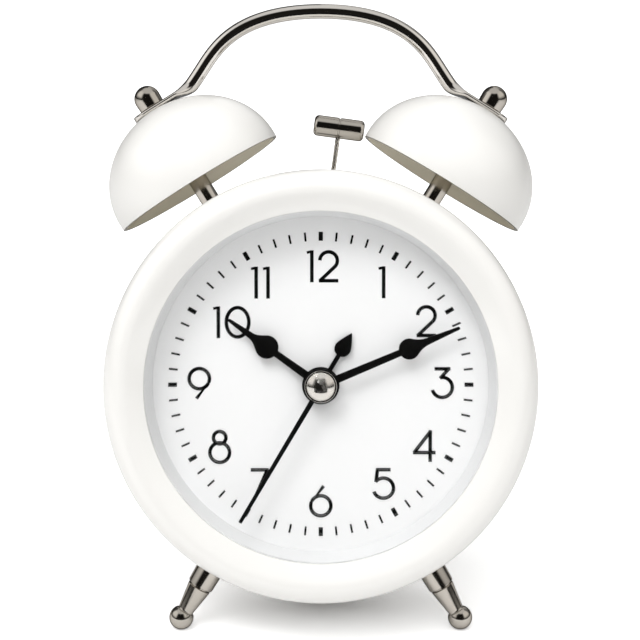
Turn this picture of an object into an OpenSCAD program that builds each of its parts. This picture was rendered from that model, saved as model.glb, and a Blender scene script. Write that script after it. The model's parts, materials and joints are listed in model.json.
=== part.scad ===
// Twin bell alarm clock with a quartz movement and an electric hammer.
// Every piece is drawn in the clock's own frame: x to the right, y to the back, z up,
// with the centre of the dial's front face at the origin. stand() then leans the clock
// back until the two ball feet and the rolled rear edge of the drum touch the floor.

/* [Case] */
// Outside diameter of the rounded front ring
case_d = 110; // [96:1:124]
// How far the front ring stands out over the drum
ring_over = 1; // [0.5:0.1:2]
// Sheet thickness of the drum
drum_wall = 1; // [0.8:0.1:1.4]
// Length of the drum from its front flange to the middle of its rolled rear edge
drum_depth = 49; // [43:0.5:56]
// Radius of the rolled rear edge
rear_bead_r = 1; // [0.8:0.1:1.3]
// How far the rolled rear edge stands out from the drum
rear_bead_out = 0.7; // [0.5:0.1:0.9]
// Radius of the front ring's rounded outer edge
ring_round = 5.5; // [4.5:0.1:6.5]
// Width of the front ring from its outer edge to its inner lip
ring_w = 10.5; // [9:0.1:12]
// Thickness of the inner lip that holds the lens
lip_t = 1.1; // [0.8:0.1:1.6]
// Depth of the sloping face inside the front ring
funnel_depth = 2.4; // [1.5:0.1:3]
// Width of the drum's front flange inward of the movement's screws
flange_hold = 3; // [2:0.1:5]

/* [Dial and lens] */
// How far the lens and the dial reach behind the lip
lens_seat = 1.9; // [1.4:0.1:2.5]
// Thickness of the lens
lens_t = 1.6; // [1.2:0.1:2.4]
// Depth of the space for the hands, from dial to lens
hand_room = 8.4; // [8.2:0.1:11]
// Thickness of the dial
dial_t = 0.6; // [0.4:0.1:1]
// Width of the dial ring inside the lip
dial_ring_w = 1.2; // [0.6:0.1:2.4]

/* [Hands] */
// Thickness of the sheet that the hands are cut from
hand_t = 0.4; // [0.3:0.05:0.6]
// Step from one hand to the next
hand_step = 1.4; // [1.2:0.1:1.5]
// How much shorter the hour hand is than the minute hand
hour_short = 9.4; // [6:0.1:13]
// Share of the hour hand's length at its round swelling
hour_disc_share = 0.59; // [0.5:0.01:0.66]
// Diameter of the hour hand's round swelling
hour_disc_d = 5.6; // [4:0.1:7]
// Diameter of the hour hand's hub
hour_hub_d = 9.6; // [8.4:0.1:12]
// Gap between the minute hand's tip and the dial ring
minute_short = 5.1; // [3:0.1:8]
// Share of the minute hand's length at its round swelling
minute_disc_share = 0.641; // [0.55:0.01:0.7]
// Diameter of the minute hand's round swelling
minute_disc_d = 5.1; // [4:0.1:7]
// Width of the hour and minute hands' stems
stem_w = 1.9; // [1.2:0.1:2.4]
// Gap between the second hand's tip and the dial ring
second_short = 2.7; // [1.5:0.1:5]
// Width of the second hand
second_w = 1.1; // [0.8:0.1:1.6]
// Length of the alarm hand
alarm_len = 15.2; // [12:0.2:20]
// Width of the alarm hand's head
alarm_head_w = 3.9; // [3:0.1:5]
// Length of the alarm hand's head
alarm_head_len = 6.2; // [4:0.1:7]
// Diameter of the domed cap over the hands
cap_d = 8.2; // [7:0.1:9]
// Height of the domed cap
cap_h = 1.9; // [1.4:0.1:2]
// Hour that the hands show
show_hour = 10; // [0:1:11]
// Minute that the hands show
show_minute = 11.2; // [0:0.1:59.9]
// Second that the hands show
show_second = 35.1; // [0:0.1:59.9]
// Hour that the alarm hand shows
alarm_hour = 1.03; // [0:0.01:11.99]

/* [Bells] */
// Largest diameter of a bell
bell_d = 48.6; // [44:0.2:52]
// Height of a bell from mouth to crown
bell_h = 22.9; // [20:0.1:26]
// Thickness of a bell's wall
bell_wall = 1; // [0.7:0.1:1.5]
// Height of a bell's widest place above its mouth
bell_belly = 1.8; // [0.5:0.1:4]
// Diameter of the flat on a bell's crown
crown_d = 9; // [8.6:0.1:11]
// Distance of a bell's mouth from the drum
bell_standoff = 7.6; // [6:0.1:10]
// Distance of the bells behind the dial
bell_back = 22; // [20.4:0.2:26]
// Diameter of a bell's post
post_d = 5.2; // [4.4:0.1:6.4]
// Diameter of the studs at the ends of the posts
stud_d = 3; // [2.5:0.1:3.5]
// Diameter of the domed nut over a bell
nut_ball_d = 7.1; // [6:0.1:8]
// Height of the domed nut's skirt below its half ball
nut_ball_h = 2.6; // [2.2:0.1:3.4]
// Diameter of the domed nut where it meets the tab
nut_base_d = 6.9; // [5.8:0.1:7]

/* [Handle] */
// Diameter of the handle's round rod
handle_d = 3.9; // [3:0.1:4.6]
// Width of the tabs that the rod's ends are flattened into
tab_w = 8.4; // [7.4:0.1:10]
// Rise of the arch's underside over the bells' crowns
handle_rise = 25.4; // [22:0.2:32]
// Distance of the shoulder inward from the middle of a crown
shoulder_in = 15.9; // [13:0.1:18]
// Drop of the shoulder below the arch's underside
shoulder_drop = 10.9; // [8:0.1:13]
// Lean of the handle's legs away from the vertical
leg_slope = 34; // [26:1:42]
// Thickness of the flat tabs that lie on the crowns
tab_t = 1.3; // [1:0.1:1.8]
// Reach of a tab outward from the middle of a crown
tab_out = 6; // [5:0.1:7.5]
// Reach of a tab inward from the middle of a crown
tab_in = 6.7; // [5.5:0.1:8]

/* [Feet] */
// Angle of the feet from straight down
foot_angle = 30.6; // [26:0.2:36]
// Distance of the feet behind the dial
foot_back = 6.4; // [6.2:0.1:12]
// Diameter of a foot's collar at the drum
collar_d = 7.4; // [6.4:0.1:9]
// Diameter of a foot's collar at its lower end
collar_low_d = 6.9; // [6.4:0.1:7.4]
// Length of a foot's collar
collar_len = 8.4; // [6:0.1:11]
// Distance from the collar's end to the middle of the ball
leg_len = 9.8; // [8:0.1:12]
// Diameter of the leg under the collar
leg_top_d = 6.3; // [5.4:0.1:6.8]
// Diameter that the leg's taper reaches at the middle of the ball
leg_waist_d = 3.5; // [2.8:0.1:4.6]
// Diameter of the ball
foot_ball_d = 6.4; // [5.6:0.1:8]
// Depth of the small flat that the ball stands on
foot_flat = 0.2; // [0.1:0.05:0.4]
// Diameter of the stud that holds a foot
foot_stud_d = 4; // [3:0.1:4.6]

/* [Hammer] */
// Height of the hammer's pivot over the dial's centre
pivot_h = 30.8; // [29.6:0.2:34]
// Height of the hammer's head over the drum
head_lift = 13.3; // [11:0.1:16]
// Lean of the hammer at rest
hammer_rest = 7.7; // [5:0.1:9]
// Gap between the head and the nearer bell at rest
hammer_gap = 0.8; // [0.5:0.05:1.5]
// Further swing of the hammer towards the nearer bell
hammer_over = 0.4; // [0.2:0.1:0.6]
// Diameter of the hammer's head
head_d = 5.6; // [4.6:0.1:7]
// Length of the hammer's head
head_len = 13.6; // [11:0.1:16]
// Diameter of the hammer's rod
rod_d = 1.2; // [1:0.1:1.8]
// Diameter of the pivot pin
pivot_d = 2; // [1.6:0.1:2.4]
// Distance of the armature below the pivot
armature_drop = 13; // [11:0.1:14]
// Width of the armature
armature_w = 5.2; // [4:0.1:6]

/* [Movement] */
// Gap between the motor's coil and the fifth wheel
coil_gap = 2.4; // [1.5:0.1:3]
// Wall of the movement housing
movement_wall = 1.2; // [1:0.1:1.6]
// Thickness of the movement's front plate
plate_t = 1.5; // [1.2:0.1:2]
// Thickness of the larger wheels
wheel_t = 1; // [0.8:0.05:1.2]
// Free height between one wheel and the next
wheel_gap = 0.5; // [0.4:0.05:0.7]
// Distance of the setting arbor from the centre
motion_centre = 10; // [8.8:0.1:11.2]
// How much nearer the third and fifth wheels' arbors stand to the centre
train_in = 0.6; // [0.4:0.05:0.9]
// How much further the alarm arbor stands from the centre
alarm_further = 2; // [1.6:0.1:2.4]
// Distance from the fifth wheel's arbor to the rotor
rotor_centre = 8.4; // [8.2:0.1:8.8]
// Direction of the rotor from the fifth wheel's arbor
rotor_turn = 35; // [25:1:45]
// Diameter of the rotor's magnet
rotor_d = 4.4; // [3.6:0.1:4.8]
// Diameter of the long setting arbors
arbor_d = 1.8; // [1.4:0.1:1.9]
// Diameter of the seconds arbor
seconds_arbor_d = 0.9; // [0.8:0.05:1]
// Wall of the tubes that carry the hands
tube_wall = 0.4; // [0.3:0.05:0.5]
// Play left between meshing teeth
backlash = 0.06; // [0.04:0.01:0.08]
// Radial clearance of turning fits
running_gap = 0.05; // [0.03:0.01:0.08]

/* [Back] */
// Thickness of the back cover
cover_t = 2; // [1.6:0.1:2.6]
// Depth of the back cover below the rolled rear edge
cover_recess = 1.5; // [1.2:0.1:2.5]
// Gap between the back cover and the drum
cover_gap = 0.4; // [0.3:0.05:0.6]
// Length of the back cover's rim inside the drum
cover_rim = 6; // [4:0.5:9]
// Diameter of the setting knobs
knob_d = 13; // [10:0.2:15]
// Height of the setting knobs
knob_h = 7; // [5:0.2:9]
// Travel of the alarm switch
switch_travel = 4; // [3:0.1:5]
// Place of the alarm switch beside the centre
switch_x = 32; // [28:0.5:35]
// Distance of the case pillars inward from the drum's inner face
pillar_in = 6.5; // [5.5:0.1:7.5]
// Diameter of the case pillars
pillar_d = 6; // [5:0.1:7]
// Diameter of the cover screws
screw_d = 2.4; // [2:0.1:3]

/* [Battery] */
// Diameter of the cell
cell_d = 14.3; // [13.9:0.1:14.5]
// Length of the cell without its button
cell_len = 49.2; // [48:0.1:49.5]
// Height of the cell's button
cell_nub = 1; // [0.8:0.1:1.5]
// Gap between the battery bay's corners and the edge of the back cover
bay_edge = 2.6; // [2.3:0.1:4]
// Room round the cell in its bay
bay_room = 0.4; // [0.3:0.05:0.7]
// Wall of the battery bay
bay_wall = 1.2; // [1:0.1:1.6]
// Room at the cell's flat end for the contact spring
spring_room = 5; // [4.6:0.1:5.4]
// Thickness of the contact spring's wire
spring_wire = 0.5; // [0.4:0.05:0.6]
// Outside radius of the contact spring
spring_r = 3.6; // [3.2:0.1:4.5]
// Gap round the battery door
door_gap = 0.3; // [0.2:0.05:0.5]

/* [Hidden] */
$fn = 64;

// Colours
white_paint = [0.95, 0.95, 0.93];
bright_metal = [0.75, 0.74, 0.72];
black_metal = [0.05, 0.05, 0.05];
brass = [0.72, 0.58, 0.3];
nylon = [0.9, 0.88, 0.8];
dark_plastic = [0.12, 0.12, 0.13];
cover_plastic = [0.88, 0.87, 0.84];
clear_glass = [0.85, 0.9, 0.92, 0.3];
dial_grey = [0.8, 0.8, 0.79];
board_green = [0.1, 0.35, 0.2];
copper_wire = [0.7, 0.35, 0.15];
plain_steel = [0.5, 0.5, 0.52];
cell_grey = [0.25, 0.27, 0.3];

// How far cutting shapes run past the faces that they cut
past = 1;

// Front of the case, from the dial forward
drum_r = case_d / 2 - ring_over;
drum_in = drum_r - drum_wall;
seat_gap = 0.1;
lip_r = case_d / 2 - ring_w;
lens_r = lip_r + lens_seat;
dial_r = lip_r - dial_ring_w;
pocket_r = lens_r + seat_gap;
lens_back_y = -hand_room;
lens_front_y = lens_back_y - lens_t;
lip_front_y = lens_front_y - lip_t;
crest_y = lip_front_y - funnel_depth;
ring_r = case_d / 2 - ring_round;
ring_y = crest_y + ring_round;

// Back of the case
flange_y = dial_t;
flange_back_y = flange_y + drum_wall;
drum_end_y = flange_y + drum_depth;
bead_r = drum_r + rear_bead_out - rear_bead_r;
cover_back_y = drum_end_y - cover_recess;
cover_front_y = cover_back_y - cover_t;
cover_r = drum_in - cover_gap;
pillar_turns = [60, 180, 300];
pillar_at = drum_in - pillar_in;
pillar_bore = 10;
screw_grip = 8;
arbor_room = 0.3;

// The lean that brings the feet and the rolled rear edge to one floor
collar_end = drum_r + collar_len;
foot_ball_at = collar_end + leg_len;
foot_ball_z = -foot_ball_at * cos(foot_angle);
foot_ball_r = foot_ball_d / 2;
stance_run = drum_end_y - foot_back;
stance_drop = -foot_ball_z - bead_r;
stance_round = foot_ball_r - foot_flat - rear_bead_r;
lean = atan2(stance_drop, stance_run) + asin(stance_round / norm([stance_drop, stance_run]));
dial_h = drum_end_y * sin(lean) + bead_r * cos(lean) + rear_bead_r;
front_reach = ring_y * cos(lean) - ring_r * sin(lean) - ring_round;
back_reach = drum_end_y * cos(lean) + bead_r * sin(lean) + rear_bead_r;
shift_y = -(front_reach + back_reach) / 2;

// Hammer and bells: the bells stand just clear of the leaning hammer
hammer_reach = (drum_r + head_lift - pivot_h) / cos(hammer_rest);
head_end = [
    hammer_reach * sin(hammer_rest) + head_len / 2 * cos(hammer_rest),
    pivot_h + hammer_reach * cos(hammer_rest) - head_len / 2 * sin(hammer_rest)
];
bell_r = bell_d / 2;
bell_turn = atan2(head_end[0], head_end[1]) + asin((bell_r + hammer_gap) / norm(head_end));
mouth_at = drum_r + bell_standoff;
crown_at = mouth_at + bell_h;
crown_r = crown_d / 2;
bell_steps = 18;
stud_r = stud_d / 2;
hole_gap = 0.1;
nut_af = 5.5;
nut_t = 2.4;
stud_tail = 1.2;
foot_stud_r = foot_stud_d / 2;
foot_nut_af = foot_stud_d + 3;
foot_nut_t = 3;
post_seat = drum_in * cos(asin(nut_af / sqrt(3) / drum_in)) - seat_gap;
post_tail = post_seat - nut_t - stud_tail;
foot_seat = drum_in * cos(asin(foot_nut_af / sqrt(3) / drum_in)) - seat_gap;
foot_tail = foot_seat - foot_nut_t - stud_tail;

// The handle's path, seen from the front, as two curves from a tab to the middle of the arch
handle_steps = 9;
heading_step = 0.01;
swell_rate = 1.25;
rod_sides = 12;
rod_edge = 1;
tab_edge = 0.12;
tab_cuts = [0.06, 0.25, 0.6, 1];
leg_pull = [0.3, 0.4];
arch_pull = [0.3, 0.46];
tab_way = [-cos(bell_turn), sin(bell_turn)];
crown_mid = crown_at * [sin(bell_turn), cos(bell_turn)];
arch_mid = [0, crown_mid[1] + handle_rise];
shoulder = [crown_mid[0] - shoulder_in, arch_mid[1] - shoulder_drop];
leg_way = [-sin(leg_slope), cos(leg_slope)];
tab_end = crown_mid + tab_in * tab_way;
leg_span = norm(shoulder - tab_end);
arch_span = norm(arch_mid - shoulder);
leg_curve = [
    tab_end, tab_end + leg_span * leg_pull[0] * tab_way,
    shoulder - leg_span * leg_pull[1] * leg_way, shoulder
];
arch_curve = [
    shoulder, shoulder + arch_span * arch_pull[0] * leg_way,
    arch_mid + arch_span * arch_pull[1] * [1, 0], arch_mid
];

// Hands and their tubes, from the dial forward
alarm_y = -hand_step;
hour_y = alarm_y - hand_step;
minute_y = hour_y - hand_step;
second_y = minute_y - hand_step;
seconds_r = seconds_arbor_d / 2;
minute_in = seconds_r + running_gap;
minute_out = minute_in + tube_wall;
hour_in = minute_out + running_gap;
hour_out = hour_in + tube_wall;
alarm_in = hour_out + running_gap;
alarm_out = alarm_in + tube_wall;
bush_in = alarm_out + running_gap;
bush_wall = 0.6;
bush_out = bush_in + bush_wall;
bush_proud = 0.3;
dial_hole_r = bush_out + 2 * hole_gap;
minute_len = dial_r - minute_short;
hour_len = minute_len - hour_short;
second_len = dial_r - second_short;
hour_disc_at = hour_len * hour_disc_share;
minute_disc_at = minute_len * minute_disc_share;
minute_angle = show_minute * 6;
hour_angle = (show_hour + show_minute / 60) * 30;
second_angle = show_second * 6;
alarm_angle = alarm_hour * 30;
tip_w = 0.3;
stem_taper = 0.3;
spade_waist = [0.42, 0.36];
minute_hub_d = cap_d + 0.6;
second_hub_d = cap_d - 1;
second_taper = 0.36;
alarm_stem_w = 0.9;
alarm_wide_at = 0.34;
alarm_slim = 0.36;
cap_rim = 0.5;
cap_rise = cap_h - cap_rim;
cap_ball = (cap_d * cap_d / 4 + cap_rise * cap_rise) / 2 / cap_rise;

// Gear train: tooth counts, arbor places and the layer of each wheel from front to back
third_centre = motion_centre - train_in;
fifth_centre = motion_centre - train_in;
alarm_centre = motion_centre + alarm_further;
pressure = 25;
addendum = 0.8;
dedendum = 1.05;
alarm_teeth = 40;
alarm_pinion_teeth = 20;
hour_teeth = 48;
motion_pinion_teeth = 12;
cannon_teeth = 12;
motion_teeth = 36;
centre_teeth = 80;
third_pinion_teeth = 10;
seconds_pinion_teeth = 10;
third_teeth = 75;
seconds_teeth = 60;
fifth_pinion_teeth = 12;
fifth_teeth = 60;
rotor_teeth = 10;
alarm_m = pair_module(alarm_centre, alarm_teeth, alarm_pinion_teeth);
hour_m = pair_module(motion_centre, motion_pinion_teeth, hour_teeth);
cannon_m = pair_module(motion_centre, cannon_teeth, motion_teeth);
centre_m = pair_module(third_centre, third_pinion_teeth, centre_teeth);
third_m = pair_module(third_centre, seconds_pinion_teeth, third_teeth);
seconds_m = pair_module(fifth_centre, fifth_pinion_teeth, seconds_teeth);
rotor_m = pair_module(rotor_centre, rotor_teeth, fifth_teeth);
motion_turn = 180;
alarm_turn = 0;
third_turn = 270;
fifth_turn = 90;
motion_at = motion_centre * [cos(motion_turn), sin(motion_turn)];
alarm_at = alarm_centre * [cos(alarm_turn), sin(alarm_turn)];
third_at = third_centre * [cos(third_turn), sin(third_turn)];
fifth_at = fifth_centre * [cos(fifth_turn), sin(fifth_turn)];
rotor_at = fifth_at + rotor_centre * [cos(rotor_turn), sin(rotor_turn)];
plate_y = flange_back_y;
plate_back_y = plate_y + plate_t;
layer = wheel_t + wheel_gap;
alarm_layer_y = plate_back_y + wheel_gap;
hour_layer_y = alarm_layer_y + layer;
cannon_layer_y = hour_layer_y + layer;
centre_layer_y = cannon_layer_y + layer;
third_layer_y = centre_layer_y + layer;
seconds_layer_y = third_layer_y + layer;
fifth_layer_y = seconds_layer_y + layer;
rotor_y = fifth_layer_y + layer;
rotor_t = 1.4;
rear_wall_y = rotor_y + rotor_t + wheel_gap;
rear_wall_t = 1.5;
housing_back_y = rear_wall_y + rear_wall_t;
housing_round = 2;
end_play = 0.3;
pivot_front_y = plate_y + end_play;
pivot_rear_y = housing_back_y - end_play;
pinion_over = 0.2;
pivot_r = 0.5;
arbor_r = arbor_d / 2;
coil_r = 2.8;
coil_len = 18;
coil_room = 0.4;
stator_arm = 3.4;
stator_room = 0.5;
fifth_top = fifth_at[1] + rotor_m * (fifth_teeth / 2 + addendum);
coil_z = fifth_top + coil_gap + coil_r;
coil_x = rotor_at[0] - coil_len / 2;
stator_z = rotor_at[1] - rotor_d / 2 - stator_arm / 2;
stator_top = coil_z + coil_r;
housing_in = stator_top + 1;
movement_w = 2 * (housing_in + movement_wall);
board_t = 1;
board_w = 40;
board_h = 9;
board_z = -housing_in + board_h / 2 + 1;
chip_x = -8;
chip_r = 2.4;
chip_t = 0.8;
crystal_r = 1;
crystal_x = 4;
crystal_len = 6;
lug_turns = [45, 135, 225, 315];
lug_w = 8;
lug_room = 1.2;
lug_screw_r = 1;
lug_head_r = 1.9;
movement_corner = (movement_w / 2 - housing_round) * sqrt(2) + housing_round;
lug_screw_at = movement_corner + lug_head_r + lug_room;
lug_end = lug_screw_at + flange_hold;
flange_hole_r = lug_screw_at - flange_hold;
lug_head_t = 1.2;

// Striker behind the movement
bracket_t = 1.2;
bracket_back_y = housing_back_y + bracket_t;
boss_t = 2.2;
boss_r = 2.4;
lever_w = 3.2;
lever_t = 2;
armature_t = 3;
armature_h = 5;
armature_y = bell_back + lever_t / 2;
core_r = 1.5;
core_y = armature_y + armature_t / 2;
core_gap = 0.8;
core_x = armature_w / 2 + armature_drop * sin(hammer_rest + hammer_over) + core_gap;
core_len = 12;
striker_coil_r = 3.2;
yoke_t = 1.4;
core_proud = 1.2;
core_z = pivot_h - armature_drop;
yoke_x = core_x + core_len;
pin_head_r = pivot_d / 2 + 0.8;
pin_head_t = 0.8;
pin_end_y = bell_back + boss_t / 2 + pin_head_t + 2 * hole_gap;
bracket_edge = 2;
bracket_left = -pin_head_r - bracket_edge;
bracket_right = yoke_x + yoke_t + bracket_edge / 2;
bracket_low = core_z - striker_coil_r - bracket_edge / 2;
bracket_top = pivot_h + pin_head_r + bracket_edge;
rod_slot_r = rod_d / 2 + 0.9;
rod_slot_half = (drum_r - pivot_h) * tan(hammer_rest + hammer_over) + rod_slot_r - hole_gap;
rod_slot_in = rod_slot_half - rod_slot_r;
rod_root = boss_r - 0.8;
rod_seat = head_d / 4;
head_round = 1.2;
head_groove = 0.25;
head_groove_w = 0.5;

// Battery bay in the back cover, with its hinged door
contact_t = 0.4;
bay_half_x = (spring_room + cell_len + cell_nub + contact_t) / 2;
bay_half_z = cell_d / 2 + bay_room;
bay_reach = [bay_half_x + bay_wall, bay_half_z + bay_wall];
cell_drop = sqrt(pow(cover_r - bay_edge, 2) - pow(bay_reach[0], 2)) - bay_reach[1];
door_t = 1.7;
door_seat_y = cover_back_y - door_t;
cell_y = door_seat_y - bay_room - cell_d / 2;
bay_floor_y = cell_y - cell_d / 2 - bay_room;
door_half_x = bay_half_x + bay_wall / 2;
door_top = -cell_drop + bay_half_z + bay_wall / 2;
door_hinge_z = -cell_drop - bay_half_z;
door_knuckle_r = door_t / 2;
door_hinge_y = cover_back_y - door_knuckle_r;
door_pin_r = 0.5;
door_pin_len = 1.6;
door_pin_reach = door_half_x + door_pin_len + 0.4;
door_mid = (door_top + door_hinge_z - door_knuckle_r) / 2;
door_room = [2 * door_half_x, door_top - door_hinge_z + door_knuckle_r] + 2 * [door_gap, door_gap];
door_grip_w = 10;
grip_rib = [0.7, 0.5];
grip_top = 2;
grip_pitch = 1.6;
cell_left = -bay_half_x + spring_room;
cell_nub_r = 2.75;
contact_w = 8;
spring_turns = 4;
spring_narrowing = 1.4;
spring_len = spring_room - spring_wire - seat_gap;
spring_sides = 6;
spring_rings = 8 * spring_turns;

// Alarm switch
switch_stem = [2.4, 4];
switch_cap = [4.4, 7];
switch_cap_h = 2.4;
switch_foot = [6, 8];
switch_foot_t = 1;
switch_play = 0.2;
switch_root = 0.5;
switch_foot_y = cover_front_y - switch_play;
switch_cap_y = cover_back_y + switch_play;

// Knobs
knob_flutes = 24;
knob_flute = 0.35;
knob_y = cover_back_y + 0.6;
knob_end_y = knob_y + 4;
knob_neck_h = 2;
knob_neck_r = knob_d / 2 - 2 * knob_flute - 0.6;
knob_dish = 0.6;
knob_outline = [
    for (i = [0:knob_flutes * 4 - 1]) let(a = i * 90 / knob_flutes)
        (knob_d / 2 - knob_flute + knob_flute * cos(a * knob_flutes)) * [cos(a), sin(a)]
];

// Frame helpers

module stand() translate([0, shift_y, dial_h]) rotate([-lean, 0, 0]) children();

// A profile of [radius, y] turned about the dial's axis
module about_axis() rotate([-90, 0, 0]) rotate_extrude() children();

// A flat outline in x and z, filled from y0 to y1
module slab(y0, y1) translate([0, y1, 0]) rotate([90, 0, 0]) linear_extrude(y1 - y0) children();

// A round bar along y at [x, z]
module bar_y(at, r, y0, y1) translate([at[0], y0, at[1]]) rotate([-90, 0, 0]) cylinder(r = r, h = y1 - y0);

// A round bar along x at [y, z]
module bar_x(at, r, x0, x1) translate([x0, at[0], at[1]]) rotate([0, 90, 0]) cylinder(r = r, h = x1 - x0);

// Local z pointing outward from the dial's axis, turned from straight up
module spoke(turn, y) translate([0, y, 0]) rotate([0, turn, 0]) children();

// The bell on one side: -1 is left and 1 is right
module bell_spoke(side) spoke(side * bell_turn, bell_back) children();

// The foot on one side
module foot_spoke(side) spoke(180 - side * foot_angle, foot_back) children();

// The hammer's own frame: local z along the rod, from the pivot
module hammer_frame() translate([0, bell_back, pivot_h]) rotate([0, hammer_rest, 0]) children();

// The three pillars and the four lugs, each turned from straight up
module at_pillars() for (turn = pillar_turns) rotate([0, turn, 0]) children();

module at_lugs() for (turn = lug_turns) rotate([0, turn, 0]) children();

// An arbor at [x, z]
module at_arbor(at) translate([at[0], 0, at[1]]) children();

// A hand's own frame: pointing straight up before it turns to its angle
module hand_frame(angle) rotate([0, angle, 0]) children();

// Gears

function inv(a) = tan(a) * 180 / PI - a;

// Half the tooth's angle at radius r, in degrees
function half_tooth(z, m, r) =
    let(rp = m * z / 2, rb = rp * cos(pressure), half_p = 90 / z - backlash / 2 / rp * 180 / PI)
    half_p + inv(pressure) - inv(acos(min(1, rb / r)));

// One flank of a tooth from root to tip, as [radius, half angle]
function flank(z, m) =
    let(rp = m * z / 2, rb = rp * cos(pressure), rr = rp - dedendum * m, rt = rp + addendum * m)
    let(start = max(rb, rr))
    concat(
        rb > rr ? [[rr, half_tooth(z, m, start)]] : [],
        [for (r = [start, rp, rt]) [r, half_tooth(z, m, r)]]
    );

function reverse(list) = [for (i = [len(list) - 1:-1:0]) list[i]];

function gear_outline(z, m, phase) =
    let(side = flank(z, m))
    let(tooth = concat([for (p = side) [p[0], -p[1]]], reverse(side)))
    [
        for (k = [0:z - 1]) for (p = tooth)
            let(a = phase + k * 360 / z + p[1]) p[0] * [cos(a), sin(a)]
    ];

// Phase of a gear of zb teeth that meshes with one of za teeth, seen from it in direction turn
function mesh_phase(za, phase_a, zb, turn) =
    let(fa = (turn - phase_a) * za / 360)
    turn + 180 - (0.5 - fa) * 360 / zb;

// Module of a pair of za and zb teeth on a given centre distance
function pair_module(centre, za, zb) = 2 * centre / (za + zb);

module gear(z, m, phase, y0, y1) slab(y0, y1) polygon(gear_outline(z, m, phase));

module wheel(z, m, phase, y) gear(z, m, phase, y, y + wheel_t);

// Outlines

module hex(af) circle(d = af / cos(30), $fn = 6);

module rounded(w, h, r) {
    square([w - 2 * r, h], center = true);
    square([w, h - 2 * r], center = true);
    for (x = [-1, 1])
        for (y = [-1, 1])
            translate([x * (w / 2 - r), y * (h / 2 - r)]) circle(r = r);
}

// Case

module case_drum() stand() color(white_paint) difference() {
    about_axis() {
        translate([flange_hole_r, flange_y]) square([drum_r - flange_hole_r, drum_wall]);
        translate([drum_in, flange_y]) square([drum_wall, drum_depth]);
        translate([bead_r, drum_end_y]) circle(r = rear_bead_r);
    }
    for (side = [-1, 1]) {
        bell_spoke(side) cylinder(r = stud_r + hole_gap, h = 2 * drum_r);
        foot_spoke(side) cylinder(r = foot_stud_r + hole_gap, h = 2 * drum_r);
    }
    translate([0, bell_back, pivot_h]) linear_extrude(drum_r) {
        square([2 * rod_slot_in, 2 * rod_slot_r], center = true);
        for (side = [-1, 1]) translate([side * rod_slot_in, 0]) circle(r = rod_slot_r);
    }
    at_lugs() bar_y([0, lug_screw_at], lug_screw_r + hole_gap, flange_y - past, flange_back_y + past);
}

module front_bezel() stand() color(white_paint) about_axis() {
    intersection() {
        translate([ring_r, ring_y]) circle(r = ring_round);
        translate([ring_r, ring_y - ring_round]) square([ring_round, 2 * ring_round]);
    }
    polygon([
        [lip_r, lip_front_y], [ring_r, crest_y], [ring_r, flange_y],
        [pocket_r, flange_y], [pocket_r, lens_front_y], [lip_r, lens_front_y]
    ]);
    translate([ring_r, ring_y]) square([drum_r - ring_r, flange_y - ring_y]);
}

module lens() stand() color(clear_glass)
    bar_y([0, 0], lens_r, lens_front_y, lens_back_y);

module dial_ring() stand() color(dial_grey) about_axis()
    polygon([[lip_r, lens_back_y], [lens_r, lens_back_y], [lens_r, 0], [dial_r, 0]]);

module dial() stand() color(white_paint) difference() {
    bar_y([0, 0], lens_r, 0, dial_t);
    bar_y([0, 0], dial_hole_r, -past, dial_t + past);
}

module case_pillars() stand() color(bright_metal) at_pillars() difference() {
    bar_y([0, pillar_at], pillar_d / 2, flange_back_y, cover_front_y);
    bar_y([0, pillar_at], screw_d / 2 + hole_gap, cover_front_y - pillar_bore, cover_front_y + past);
}

module cover_screws() stand() color(bright_metal) at_pillars() {
    bar_y([0, pillar_at], screw_d / 2, cover_front_y - screw_grip, cover_back_y);
    bar_y([0, pillar_at], screw_d, cover_back_y, cover_back_y + screw_d / 2);
}

module back_cover() stand() color(cover_plastic) difference() {
    union() {
        bar_y([0, 0], cover_r, cover_front_y, cover_back_y);
        about_axis() translate([cover_r - cover_t, cover_front_y - cover_rim]) square([cover_t, cover_rim]);
        slab(bay_floor_y - bay_wall, cover_front_y) translate([0, -cell_drop])
            square(2 * bay_reach, center = true);
    }
    slab(bay_floor_y, cover_back_y + past) translate([0, -cell_drop])
        square(2 * [bay_half_x, bay_half_z], center = true);
    slab(door_seat_y, cover_back_y + past) translate([0, door_mid]) square(door_room, center = true);
    bar_x([door_hinge_y, door_hinge_z], door_pin_r + running_gap, -door_pin_reach, door_pin_reach);
    at_pillars() {
        bar_y([0, pillar_at], screw_d / 2 + hole_gap, cover_front_y - past, cover_back_y + past);
        bar_y([0, pillar_at], pillar_d / 2 + hole_gap, cover_front_y - cover_rim - past, cover_front_y);
    }
    for (at = [motion_at, alarm_at])
        bar_y(at, arbor_r + arbor_room, cover_front_y - past, cover_back_y + past);
    slab(cover_front_y - past, cover_back_y + past) translate([switch_x, switch_travel / 2])
        square(switch_stem + [0, switch_travel] + 2 * [switch_play, switch_play], center = true);
}

// Bells

// Half profile of a bell's outer or inner face, from its mouth to the edge of the crown's flat
function bell_side(r, top) =
    let(belly = bell_belly, rise = (top - belly) / sqrt(1 - pow(crown_r / r, 2)))
    let(first = -asin(belly / rise), last = acos(crown_r / r))
    [
        for (i = [0:bell_steps])
            let(a = first + (last - first) * i / bell_steps) [r * cos(a), belly + rise * sin(a)]
    ];

module bell(side) stand() color(white_paint) bell_spoke(side) translate([0, 0, mouth_at]) rotate_extrude()
    polygon(concat(
        bell_side(bell_r, bell_h),
        [[stud_r + hole_gap, bell_h], [stud_r + hole_gap, bell_h - bell_wall]],
        reverse(bell_side(bell_r - bell_wall, bell_h - bell_wall))
    ));

module left_bell() bell(-1);
module right_bell() bell(1);

module bell_post(side) stand() color(bright_metal) bell_spoke(side) {
    translate([0, 0, drum_r]) cylinder(d = post_d, h = crown_at - bell_wall - drum_r);
    translate([0, 0, post_tail]) cylinder(r = stud_r, h = crown_at + tab_t + nut_ball_h - post_tail);
}

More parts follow.
